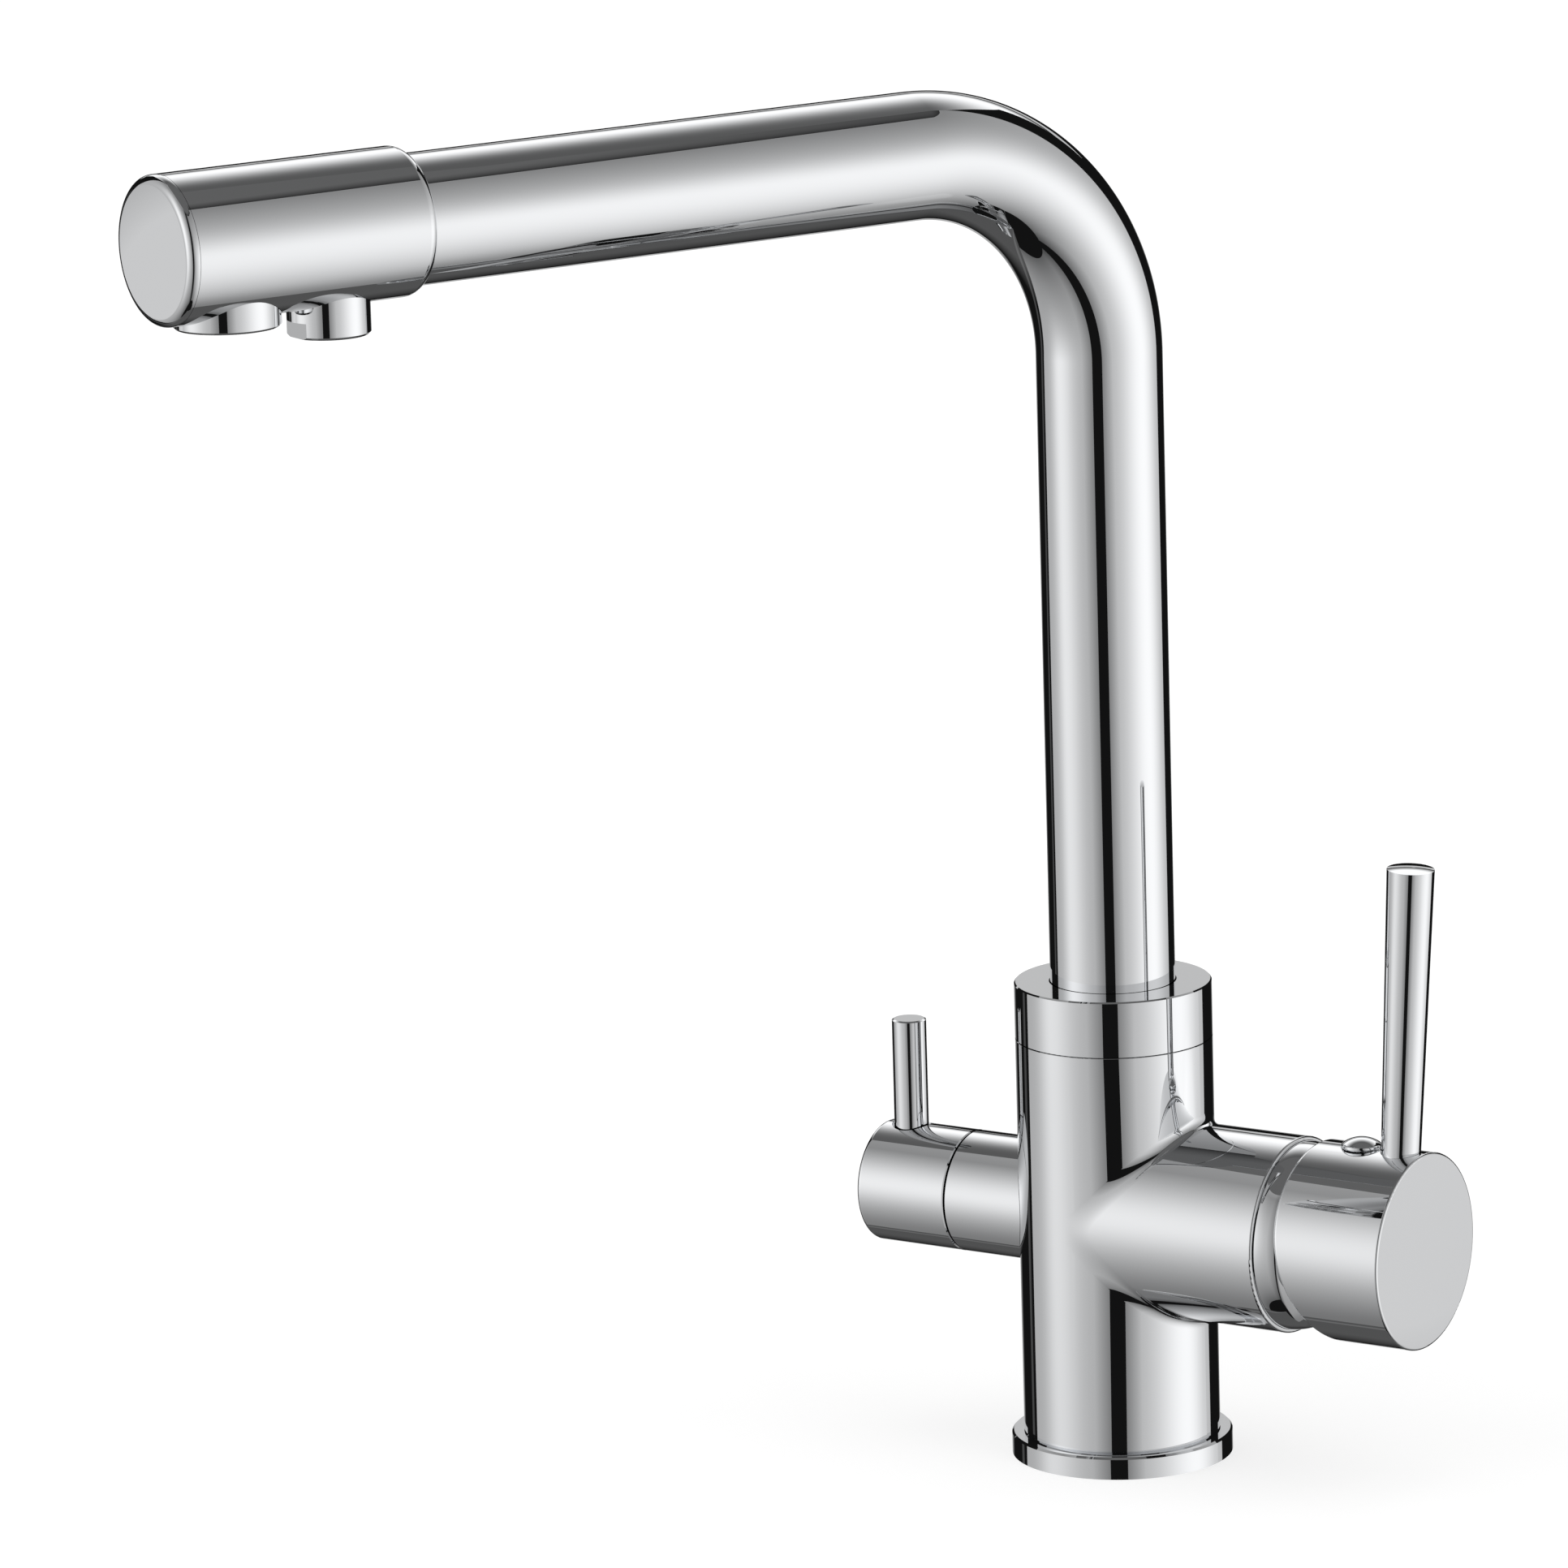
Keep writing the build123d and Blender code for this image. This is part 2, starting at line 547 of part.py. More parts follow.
def spout_foot():
    shape = disc(SOCKET_RADIUS - SLIP, FOOT_BOTTOM, FOOT_SHOULDER)
    shape = shape + disc(SPOUT_RADIUS - SPOUT_WALL - 0.05, FOOT_SHOULDER - 1, FOOT_SHOULDER + 11.0)
    shape = shape - disc(FOOT_BORE, 0, FOOT_SHOULDER + 20)
    for low, high in ((93.0, 95.2), (100.0, 102.2), (87.0, 89.6)):
        shape = shape - ring(SOCKET_RADIUS + 1, 15.1, low, high)
    low, high = FOOT_HUB
    hub = disc(5.2, low, high)
    web = Pos(0, 0, low) * Box(FOOT_BORE + 0.5, 1.6, high - low, align=(Align.MIN, Align.CENTER, Align.MIN))
    spider = hub + [Rot(0, 0, turn) * web for turn in (0, 120, 240)]
    return shape + (spider - disc(FILTER_SPIGOT_RADIUS, 0, 200))


def spout_o_rings():
    return Compound(children=[o_ring(16.03, 1.86, height) for height in (94.1, 101.1)])


def lower_glide_ring():
    return ring(SOCKET_RADIUS - 0.05, 15.15, 87.1, 89.5)


def filter_tube_spigot():
    return turned([
        (1.8, FILTER_SPIGOT_BOTTOM),
        (FILTER_SPIGOT_RADIUS, FILTER_SPIGOT_BOTTOM),
        (FILTER_SPIGOT_RADIUS, 76.0),
        (2.3, 76.0),
        (2.3, 77.8),
        (FILTER_SPIGOT_RADIUS, 77.8),
        (FILTER_SPIGOT_RADIUS, FOOT_HUB[1]),
        (2.9, FOOT_HUB[1] + 1.0),
        (2.9, 102.0),
        (1.8, 102.0),
    ])


def spigot_o_ring():
    return ring(FILTER_SPIGOT_RADIUS + SLIP - 0.02, 2.35, 76.1, 77.7)


def filter_tube():
    return pipe(4.0, 3.0, FOOT_HUB[1] + 1.0, FILTER_OUTLET - 4.0)


# ---- nozzle -----------------------------------------------------------------------------------------
def outlet_hole(distance, radius, low, high):
    """A bore on an outlet's own axis, by its depths below the arm's axis."""
    return at_nozzle(disc(radius, -low, -high), distance)


def nozzle_shell():
    inner = NOZZLE_RADIUS - NOZZLE_WALL
    shape = on_arm(NOZZLE_RADIUS, NOZZLE_START, NOZZLE_END - 2.7)
    shape = fillet(shape.faces().sort_by(Axis.X)[0].edges(), 2.8)
    shape = shape - on_arm(inner, NOZZLE_START - 1, NOZZLE_END)
    shape = shape - outlet_hole(MAIN_OUTLET, MAIN_OUTLET_RADIUS + SLIP, 30, 0)
    return shape - outlet_hole(FILTER_OUTLET, FILTER_OUTLET_RADIUS + SLIP, 30, 0)


def nozzle_end_cap():
    face = on_arm(NOZZLE_RADIUS, NOZZLE_END - 2.6, NOZZLE_END)
    face = fillet(face.faces().sort_by(Axis.X)[-1].edges(), 2.2)
    return face + on_arm(NOZZLE_RADIUS - NOZZLE_WALL - SLIP, NOZZLE_END - 5.0, NOZZLE_END - 2.0)


def outlet_block():
    """The brass insert that keeps the two waters apart inside the nozzle."""
    radius = NOZZLE_RADIUS - NOZZLE_WALL - SLIP
    start, end = NOZZLE_START + 9.4, NOZZLE_END - 5.2
    shape = on_arm(radius, start, end)
    roof = Box(end - 3 - start + 1, 40, 20, align=(Align.MIN, Align.CENTER, Align.MIN))
    shape = shape - Pos(start - 1, 0, SPOUT_HEIGHT + 4.5) * roof
    shape = shape - on_arm(4.05, start - 1, FILTER_OUTLET)
    shape = shape - outlet_hole(FILTER_OUTLET, 4.5, 30, 0)
    shape = shape - outlet_hole(FILTER_OUTLET, 7.7, 30, 8.0)
    shape = shape - outlet_hole(FILTER_OUTLET, FILTER_OUTLET_RADIUS + SLIP, 30, 12.0)
    shape = shape - outlet_hole(MAIN_OUTLET, 9.0, 30, -10)
    shape = shape - outlet_hole(MAIN_OUTLET, 11.0, 30, 6.0)
    return shape - outlet_hole(MAIN_OUTLET, MAIN_OUTLET_RADIUS + SLIP, 30, 10.9)


def main_aerator_housing():
    drop = MAIN_OUTLET_DROP
    shape = turned([
        (9.0, -drop),
        (MAIN_OUTLET_RADIUS - 0.5, -drop),
        (MAIN_OUTLET_RADIUS, -drop + 0.5),
        (MAIN_OUTLET_RADIUS, -11.0),
        (10.9, -11.0),
        (10.9, -7.6),
        (9.7, -7.6),
        (9.7, -drop + 1.2),
        (9.0, -drop + 1.2),
    ])
    return at_nozzle(shape, MAIN_OUTLET)


def perforated(radius, low, high, hole, pitch, rows):
    """A disc with round holes in a honeycomb of so many rows about its middle."""
    shape = disc(radius, low, high)
    cuts = []
    for row in range(-rows, rows + 1):
        count = 2 * rows + 1 - abs(row)
        for column in range(count):
            x = (column - (count - 1) / 2) * pitch
            y = row * pitch * sqrt(3) / 2
            cuts.append(Pos(x, y, 0) * disc(hole, low - 1, high + 1))
    return shape - cuts


def main_aerator_insert():
    drop = MAIN_OUTLET_DROP
    screen = perforated(9.6, -drop + 1.3, -drop + 4.0, 1.0, 3.2, 2)
    wall = ring(9.6, 8.4, -drop + 3.9, -7.8)
    return at_nozzle(screen + wall, MAIN_OUTLET)


def main_aerator_washer():
    return at_nozzle(ring(10.8, 9.1, -7.5, -6.1), MAIN_OUTLET)


def filtered_outlet_housing():
    drop = FILTER_OUTLET_DROP
    shape = turned([
        (5.6, -drop),
        (FILTER_OUTLET_RADIUS - 0.6, -drop),
        (FILTER_OUTLET_RADIUS, -drop + 0.6),
        (FILTER_OUTLET_RADIUS, -12.1),
        (7.6, -12.1),
        (7.6, -9.5),
        (6.3, -9.5),
        (6.3, -drop + 1.2),
        (5.6, -drop + 1.2),
    ])
    for side in (1, -1):
        beyond = Pos(side * (WRENCH_FLATS / 2 + 5), 0, -drop)
        shape = shape - beyond * Box(10, 30, 2 * WRENCH_FLAT_HEIGHT)
    return at_nozzle(shape, FILTER_OUTLET)


def filtered_outlet_insert():
    drop = FILTER_OUTLET_DROP
    screen = perforated(6.2, -drop + 1.3, -drop + 3.6, 0.8, 2.6, 1)
    wall = ring(6.2, 5.2, -drop + 3.5, -9.7)
    return at_nozzle(screen + wall, FILTER_OUTLET)


def filtered_outlet_washer():
    return at_nozzle(ring(7.5, 4.6, -9.4, -8.1), FILTER_OUTLET)


# ---- the assembly -----------------------------------------------------------------------------------
FIXED_PIECES = [
    base_ring, base_seal, body_casting, collar_nut, upper_glide_ring,
    cartridge_seals, cartridge_base, fixed_ceramic_disc, cartridge_housing, cartridge_nut, dome_shroud,
    filter_valve_sleeve, filter_headwork, headwork_seal, filter_fixed_disc,
]
LEVER_PIECES = [
    cartridge_rotor, tilt_pin, moving_ceramic_disc, disc_carrier,
    lever_stem, lever_cap, lever_rod, grub_screw, index_plug,
]
FILTER_PIECES = [filter_knob, filter_lever, filter_spindle, spindle_seal, filter_moving_disc]
SPOUT_PIECES = [
    spout_tube, spout_foot, spout_o_rings, lower_glide_ring,
    filter_tube_spigot, spigot_o_ring, filter_tube,
    nozzle_shell, nozzle_end_cap, outlet_block,
    main_aerator_housing, main_aerator_insert, main_aerator_washer,
    filtered_outlet_housing, filtered_outlet_insert, filtered_outlet_washer,
]


def main():
    os.makedirs("parts", exist_ok=True)
    for make in FIXED_PIECES + LEVER_PIECES + FILTER_PIECES:
        export_step(make(), f"parts/{make.__name__}.step")
    for make in SPOUT_PIECES:
        export_step(Rot(0, 0, SPOUT_AZIMUTH) * make(), f"parts/{make.__name__}.step")


main()
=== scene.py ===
# %% [markdown]
# # A chrome kitchen tap with three waters
#
# The tap is one column with a mixer lever on its right, a small quarter-turn valve for filtered water on
# its left, and a swivelling spout whose nozzle has two outlets. Every hard piece already exists as an exact
# solid in the frame, at its real size and in its real place. What is left to make here is what the eye
# judges first: the mirror finish, the light that it mirrors, three smoother skins and the woven gauze.
#
# Units are metres. The worktop is z = 0, the column stands on the origin, and +Z is up.

# %% Load the frame and keep its size
import json
import math

import bmesh
import bpy
from mathutils import Matrix, Vector

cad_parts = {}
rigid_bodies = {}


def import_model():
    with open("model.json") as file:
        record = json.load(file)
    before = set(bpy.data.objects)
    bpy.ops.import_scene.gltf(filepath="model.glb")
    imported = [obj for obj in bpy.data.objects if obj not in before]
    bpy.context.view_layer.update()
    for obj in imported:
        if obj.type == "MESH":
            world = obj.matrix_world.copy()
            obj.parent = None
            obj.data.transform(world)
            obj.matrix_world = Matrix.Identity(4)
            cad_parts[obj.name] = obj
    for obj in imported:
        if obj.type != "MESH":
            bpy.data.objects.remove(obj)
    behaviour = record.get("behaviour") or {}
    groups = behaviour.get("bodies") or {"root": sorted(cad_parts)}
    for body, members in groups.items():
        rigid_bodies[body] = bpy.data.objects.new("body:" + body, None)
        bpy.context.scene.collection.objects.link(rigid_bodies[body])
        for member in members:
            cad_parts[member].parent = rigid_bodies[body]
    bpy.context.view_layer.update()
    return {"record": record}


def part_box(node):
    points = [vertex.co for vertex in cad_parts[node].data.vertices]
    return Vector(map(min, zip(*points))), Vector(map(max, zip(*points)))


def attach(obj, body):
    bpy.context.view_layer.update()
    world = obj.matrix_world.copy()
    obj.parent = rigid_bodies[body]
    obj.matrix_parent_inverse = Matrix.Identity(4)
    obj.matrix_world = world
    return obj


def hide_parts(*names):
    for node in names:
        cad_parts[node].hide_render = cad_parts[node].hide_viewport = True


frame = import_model()
MM = 0.001

# %% [markdown]
# ## The camera
#
# Product photographs like this one are taken from some way off with a long lens, so that upright lines stay
# nearly upright. The view is given the way a photographer would note it: how far round the object, how far
# up, how far away, and a small tilt of the camera body about its own axis. The lens follows from the angle
# that the picture takes in.

# %% Camera: round, up, away and rolled
VIEW_ROUND = math.radians(33.19)       # from the front (-Y) towards the mixer (+X)
VIEW_UP = math.radians(12.45)
VIEW_ROLL = math.radians(-1.68)
VIEW_AWAY = 2.314
VIEW_TARGET = Vector((-0.0935, 0.0, 0.1578))
SENSOR = 36.0
VIEW_ANGLE = math.radians(9.56)


def view_axes(around, up, roll):
    """The camera's right, up and backward directions."""
    back = Vector((math.sin(around) * math.cos(up), -math.cos(around) * math.cos(up), math.sin(up)))
    right = (-back).cross(Vector((0, 0, 1))).normalized()
    upward = right.cross(-back)
    rolled_right = math.cos(roll) * right + math.sin(roll) * upward
    rolled_up = math.cos(roll) * upward - math.sin(roll) * right
    return rolled_right, rolled_up, back


camera_right, camera_up, camera_back = view_axes(VIEW_ROUND, VIEW_UP, VIEW_ROLL)
camera_data = bpy.data.cameras.new("camera")
camera_data.sensor_width = SENSOR
camera_data.lens = SENSOR / 2 / math.tan(VIEW_ANGLE / 2)
camera_data.clip_end = 30.0
camera = bpy.data.objects.new("camera", camera_data)
bpy.context.collection.objects.link(camera)
turn = Matrix((camera_right, camera_up, camera_back)).transposed().to_4x4()
camera.matrix_world = Matrix.Translation(VIEW_TARGET + VIEW_AWAY * camera_back) @ turn
bpy.context.scene.camera = camera
print(f"lens {camera_data.lens:.1f} mm, {VIEW_AWAY} m away")

# %% [markdown]
# ## Writing shaders as sums
#
# A node tree for a finish is mostly arithmetic: this noise times that much, plus a little. Wired by hand it
# hides what it computes. The small class below wraps one socket, so that an ordinary Python expression adds
# the Math nodes for it, and one function adds any other node. Numbers that are known beforehand are worked
# out in Python and never become nodes.

# %% A socket that does arithmetic
class Signal:
    """One output socket of a node tree. Arithmetic on it adds Math nodes to the tree."""

    def __init__(self, tree, socket):
        self.tree = tree
        self.socket = socket

    def math(self, operation, *others):
        values = dict(enumerate((self, *others)))
        return add_node(self.tree, "ShaderNodeMath", {"operation": operation}, values)["Value"]

    def __add__(self, other):
        return self.math("ADD", other)

    def __sub__(self, other):
        return self.math("SUBTRACT", other)

    def __mul__(self, other):
        return self.math("MULTIPLY", other)

    def __truediv__(self, other):
        return self.math("DIVIDE", other)

    def __pow__(self, other):
        return self.math("POWER", other)

    def __gt__(self, other):
        return self.math("GREATER_THAN", other)

    def __lt__(self, other):
        return self.math("LESS_THAN", other)

    def __neg__(self):
        return self.math("MULTIPLY", -1.0)

    def __rsub__(self, other):
        return (-self) + other

    __radd__ = __add__
    __rmul__ = __mul__

    def squared(self):
        return self * self


class Outputs(dict):
    """The named output sockets of one node, each as a Signal."""


def add_node(tree, kind, settings=None, values=None):
    """Adds a node, sets its settings, then sets or links its inputs by name or by place."""
    node = tree.nodes.new(kind)
    for name, value in (settings or {}).items():
        setattr(node, name, value)
    for key, value in (values or {}).items():
        if isinstance(value, Signal):
            tree.links.new(value.socket, node.inputs[key])
        else:
            node.inputs[key].default_value = value
    outputs = Outputs()
    for socket in node.outputs:
        if socket.enabled and socket.name not in outputs:
            outputs[socket.name] = Signal(tree, socket)
    outputs.node = node
    return outputs


def new_material(name):
    """A material with an empty node tree."""
    material = bpy.data.materials.new(name)
    material.use_nodes = True
    material.node_tree.nodes.clear()
    return material, material.node_tree


def end_material(material, shader):
    """Links the shader to the material's output and returns the material."""
    add_node(material.node_tree, "ShaderNodeOutputMaterial", {}, {"Surface": shader})
    return material


def place_on_object(tree):
    """Where a point lies, measured from its object's own origin."""
    return add_node(tree, "ShaderNodeTexCoord")["Object"]


def vector_math(tree, operation, *vectors):
    """The outputs of one Vector Math node: Vector for a direction, Value for a length or a dot product."""
    return add_node(tree, "ShaderNodeVectorMath", {"operation": operation}, dict(enumerate(vectors)))


print("shader helpers are ready")

# %% [markdown]
# ## The light that the chrome shows
#
# Polished chrome has no look of its own: it shows the room. Photographers therefore stand it between two
# large soft cards, one at each side of the camera, with a gap between them where the camera looks through.
# High up behind the object stands a pale wall that widens towards its top, and below it a narrow bright
# shelf. Black cloth hangs on both sides and below, with one pale fold and a dim window in it. The gap
# becomes the black stripe down every upright cylinder, and the cloth gives each piece the dark outline that
# holds it against white.
#
# A very large sphere stands for this room. It is seen only in reflections, so that it neither hides the
# object from the camera nor adds light to the worktop. Its brightness is written in two angles, in degrees:
# how far round from the camera, with the right of the picture positive, and how far up. A fade is written
# as the angle where it starts and the number of degrees over which it grows.

# %% The room: where everything stands, and how bright it is
ROOM_RADIUS = 20.0
CLOTH_LIGHT = 0.007                    # black cloth still gives back a little

# The cards: where they start and end, and how their light is spread.
GAP_MIDDLE = -6.0
GAP_HALF = 9.0
GAP_SIDE_LIGHT = 0.48                  # the share of its light that a card keeps right beside the gap,
GAP_SIDE_FADE = 36.0                   # rising by one in so many degrees
LEFT_REACH = 122.0                     # how far round each card reaches
RIGHT_REACH = 125.5
CARD_BOTTOM = -69.5
LEFT_TOP = 60.0
RIGHT_TOP = 55.0
EVEN_LIGHT = 0.47                      # at eye level, fading to nothing EVEN_REACH degrees up and down
EVEN_REACH = 80.0
LEFT_SPOT_LIGHT = 0.64
LEFT_SPOT = {"centre": -80.0, "widths": (19, 30), "height": 5.0, "depths": (27, 31)}
RIGHT_SPOT_LIGHT = 0.66
RIGHT_SPOT = {"centre": 81.4, "widths": (43.9, 30.9), "height": -8.4, "depths": (50.9, 25.8)}
CEILING_LIGHT = 0.12
CEILING_FADE = (54.0, 6.0)

# What stands behind the object: the wall, the shelf, the cloth with its fold, and the window.
BACK_START = 152.0                     # how far round the wall and the shelf start
WALL_WIDENS_ABOVE = 30.0
WALL_WIDENING = 1.15                   # degrees round for each degree up
WALL = (18.0, 60.5)                    # lower and upper edge
WALL_FOOT_FADE = 7.5
WALL_LIGHT = (0.1, 1.05)               # at its top, and how much is added further down
WALL_FADE = (-60.0, 30.0)              # in degrees down
WALL_CURVE = 1.15
SHELF = (11.5, 16.8)
SHELF_LIGHT = 0.56
FOLD = (128, 133)                      # on the left only, and below eye level
FOLD_LIGHT = 0.06
LOW_CLOTH_LIGHT = 0.085
LOW_CLOTH_FADE = (30.0, 22.0)          # in degrees down
WINDOW = (-27, -3)
WINDOW_LIGHT = 0.45
WINDOW_FADE = (160.0, 14.0)
print("cards from", -LEFT_REACH, "to", RIGHT_REACH, "degrees, with a gap of", 2 * GAP_HALF)


# %% Brightness by direction
def above_zero(signal):
    """A signal without its negative part."""
    return signal.math("MAXIMUM", 0.0)


def clipped(signal):
    """A signal kept between 0 and 1."""
    return above_zero(signal).math("MINIMUM", 1.0)


def ramp(signal, start, length):
    """0 up to the start, rising evenly to 1 over the length."""
    return clipped((signal - start) * (1 / length))


def between(signal, low, high):
    """1 where the signal lies between two values, else 0."""
    return (signal > low) * (signal < high)


def pick(choice, where_one, where_zero):
    """One number where the choice is 1 and another where it is 0."""
    return where_zero + (where_one - where_zero) * choice


def lopsided(distance, before, after):
    """A squared distance from a middle, with a width of its own on either side of it."""
    return (above_zero(-distance) * (1 / before) + above_zero(distance) * (1 / after)).squared()


def hot_spot(around, up, centre, widths, height, depths):
    """The glow of a lamp behind a card: brightest at one place, fading over so many degrees each way."""
    return (-(lopsided(around - centre, *widths) + lopsided(up - height, *depths))).math("EXPONENT")


def cards(around, up, left):
    """The two cards in front: an even glow, a hot spot on each, dimmer beside the gap."""
    even = EVEN_LIGHT - EVEN_LIGHT * (up * (1 / EVEN_REACH)).squared()
    left_spot = LEFT_SPOT_LIGHT * hot_spot(around, up, **LEFT_SPOT)
    right_spot = RIGHT_SPOT_LIGHT * hot_spot(around, up, **RIGHT_SPOT)
    from_gap = (around - GAP_MIDDLE).math("ABSOLUTE") - GAP_HALF
    dimmed = (GAP_SIDE_LIGHT + from_gap * (1 / GAP_SIDE_FADE)).math("MINIMUM", 1.0)
    inside = (from_gap > 0) * (up > CARD_BOTTOM) * (pick(left, LEFT_TOP, RIGHT_TOP) > up)
    return (even + left_spot + right_spot) * dimmed * inside


def behind(side, left, up, ceiling):
    """What stands behind the object: a pale wall over a shelf, and cloth with a fold and a window."""
    rise = ramp(-up, *WALL_FADE) ** WALL_CURVE
    eased = rise.squared() * (3 - 2 * rise)
    wall = (WALL_LIGHT[0] + WALL_LIGHT[1] * eased) * ramp(up, WALL[0], WALL_FOOT_FADE)
    edge = BACK_START - WALL_WIDENING * above_zero(up - WALL_WIDENS_ABOVE)
    on_wall = (side > edge) * between(up, *WALL)
    shelf = SHELF_LIGHT * (side > BACK_START) * between(up, *SHELF)
    fold = FOLD_LIGHT * left * between(side, *FOLD) * (up < 0)
    cloth = LOW_CLOTH_LIGHT * ramp(-up, *LOW_CLOTH_FADE)
    window = WINDOW_LIGHT * ramp(side, *WINDOW_FADE) * between(up, *WINDOW)
    return ceiling + (wall - ceiling) * on_wall + shelf + fold + cloth + window


def room_material():
    """An emission whose strength depends only on the direction from the middle of the room."""
    material, tree = new_material("room_light")
    heading = vector_math(tree, "NORMALIZE", place_on_object(tree))["Vector"]
    front = Vector((camera_back.x, camera_back.y, 0)).normalized()
    sideways = Vector((-front.y, front.x, 0))
    along_front = vector_math(tree, "DOT_PRODUCT", heading, front)["Value"]
    along_side = vector_math(tree, "DOT_PRODUCT", heading, sideways)["Value"]
    height = add_node(tree, "ShaderNodeSeparateXYZ", {}, {0: heading})["Z"]
    around = along_side.math("ARCTAN2", along_front) * math.degrees(1)
    up = height.math("ARCSINE") * math.degrees(1)
    side = around.math("ABSOLUTE")
    left = around < 0
    in_front = side < pick(left, LEFT_REACH, RIGHT_REACH)
    ceiling = CEILING_LIGHT * ramp(up, *CEILING_FADE)
    front_light = cards(around, up, left) + ceiling
    light = pick(in_front, front_light, behind(side, left, up, ceiling)) + CLOTH_LIGHT
    return end_material(material, add_node(tree, "ShaderNodeEmission", {}, {"Strength": light})["Emission"])


room_light = room_material()
print("room light of", len(room_light.node_tree.nodes), "nodes")


# %% A sphere that carries the room
def stage_mesh(name, vertices, faces, material):
    """A mesh that belongs to the studio and not to the object."""
    mesh = bpy.data.meshes.new(name)
    mesh.from_pydata(vertices, [], faces)
    mesh.materials.append(material)
    stage = bpy.data.objects.new(name, mesh)
    bpy.context.collection.objects.link(stage)
    return stage


def sphere_mesh(radius, rings, steps):
    """The points and faces of a sphere about the origin."""
    points = []
    for ring in range(rings + 1):
        tilt = math.pi * ring / rings
        for step in range(steps):
            turn = 2 * math.pi * step / steps
            flat = radius * math.sin(tilt)
            points.append((flat * math.cos(turn), flat * math.sin(turn), radius * math.cos(tilt)))
    faces = []
    for ring in range(rings):
        for step in range(steps):
            here = ring * steps + step
            beside = ring * steps + (step + 1) % steps
            faces.append((here, beside, beside + steps, here + steps))
    return points, faces


def seen_in_mirrors_only(stage):
    """Hides a thing from the camera, from matt surfaces and from the lamps."""
    for kind in ("camera", "diffuse", "transmission", "shadow"):
        setattr(stage, "visible_" + kind, False)


room = stage_mesh("room", *sphere_mesh(ROOM_RADIUS, rings=32, steps=64), room_light)
seen_in_mirrors_only(room)
print("room of", len(room.data.polygons), "faces")

# %% [markdown]
# ## A small reflector for each flat end
#
# The flat ends of the nozzle and of the lever's cap look past both large cards and would come out dull. A
# photographer holds a small reflector there, close by and out of the picture. Here each is a soft round
# patch of light that only mirror rays see, on the line from the middle of the flat end along the reflected
# view.

# %% Reflectors for the nozzle's end and the lever's cap
NOZZLE_FACE = Vector((-0.1053, -0.2331, 0.3253))
CAP_FACE = Vector((0.0856, 0.0, 0.0605))
PATCH_STEPS = 32                       # corners round a patch
PATCH_RIM = 1 / 3                      # the outer part of a patch, over which its light fades


def soft_patch_material(name, size, light):
    """Light that adds to what lies behind it and fades out towards the rim."""
    material, tree = new_material(name)
    from_middle = vector_math(tree, "LENGTH", place_on_object(tree))["Value"]
    fade = ramp(-from_middle, -size, size * PATCH_RIM)
    shine = add_node(tree, "ShaderNodeEmission", {}, {"Strength": fade * light})["Emission"]
    clear = add_node(tree, "ShaderNodeBsdfTransparent")["BSDF"]
    return end_material(material, add_node(tree, "ShaderNodeAddShader", {}, {0: clear, 1: shine})["Shader"])


def reflector(name, face_middle, away, size, light):
    """Lays a soft patch so far away from a flat end that faces straight out from the column."""
    outward = Vector((face_middle.x, face_middle.y, 0)).normalized()
    way = 2 * camera_back.dot(outward) * outward - camera_back
    across = way.cross(Vector((0, 0, 1))).normalized()
    upright = across.cross(way)
    turns = [2 * math.pi * step / PATCH_STEPS for step in range(PATCH_STEPS)]
    rim = [size * (math.cos(turn) * across + math.sin(turn) * upright) for turn in turns]
    face = tuple(range(PATCH_STEPS))
    patch = stage_mesh(name, rim, [face], soft_patch_material(name + "_light", size, light))
    patch.location = face_middle + away * way
    seen_in_mirrors_only(patch)
    print(name, "at", [round(part, 3) for part in patch.location])


reflector("nozzle_reflector", NOZZLE_FACE, away=0.20, size=0.034, light=0.19)
reflector("cap_reflector", CAP_FACE, away=0.11, size=0.036, light=0.07)

# %% [markdown]
# ## Floor, world and lamps
#
# The worktop is a plain white sheet. It is lit softly by three lamps, which also light the few matt pieces,
# and it keeps the soft shadow that stands the tap on it. A sheet in such a photograph is nearly white by
# itself, so a glow that no light-carrying ray sees makes up the rest. The glow is a little weaker round the
# foot, where it would drown the shadow. Sheet and lamps stay out of the chrome, which already has the room
# to show.

# %% White sheet and white world
FLOOR_REACH = 9.0                      # from the column to each side of the sheet
NEAR_GLOW = 0.73                       # round the foot, where the shadow has to stay
FAR_GLOW = 0.90                        # away from it, where the sheet has to be white
GLOW_CHANGE = (0.16, 0.44)             # metres from the column where the change starts, and its length
FLOOR_COLOUR = (0.30, 0.30, 0.30, 1)
SKY_LIGHT = 0.45                       # the part of the white world that lights the object


def seen_directly(tree):
    """One on camera, mirror and glass rays, and nothing on the rays that carry light."""
    path = add_node(tree, "ShaderNodeLightPath")
    direct = path["Is Camera Ray"] + path["Is Glossy Ray"] + path["Is Transmission Ray"]
    return direct.math("MINIMUM", 1.0)


def floor_material():
    """A matt sheet with a glow that changes with the distance from the column."""
    material, tree = new_material("white_sheet")
    matt = add_node(tree, "ShaderNodeBsdfDiffuse", {}, {"Color": FLOOR_COLOUR})["BSDF"]
    away = vector_math(tree, "LENGTH", place_on_object(tree))["Value"]
    strength = seen_directly(tree) * pick(ramp(away, *GLOW_CHANGE), FAR_GLOW, NEAR_GLOW)
    glow = add_node(tree, "ShaderNodeEmission", {}, {"Strength": strength})["Emission"]
    return end_material(material, add_node(tree, "ShaderNodeAddShader", {}, {0: matt, 1: glow})["Shader"])


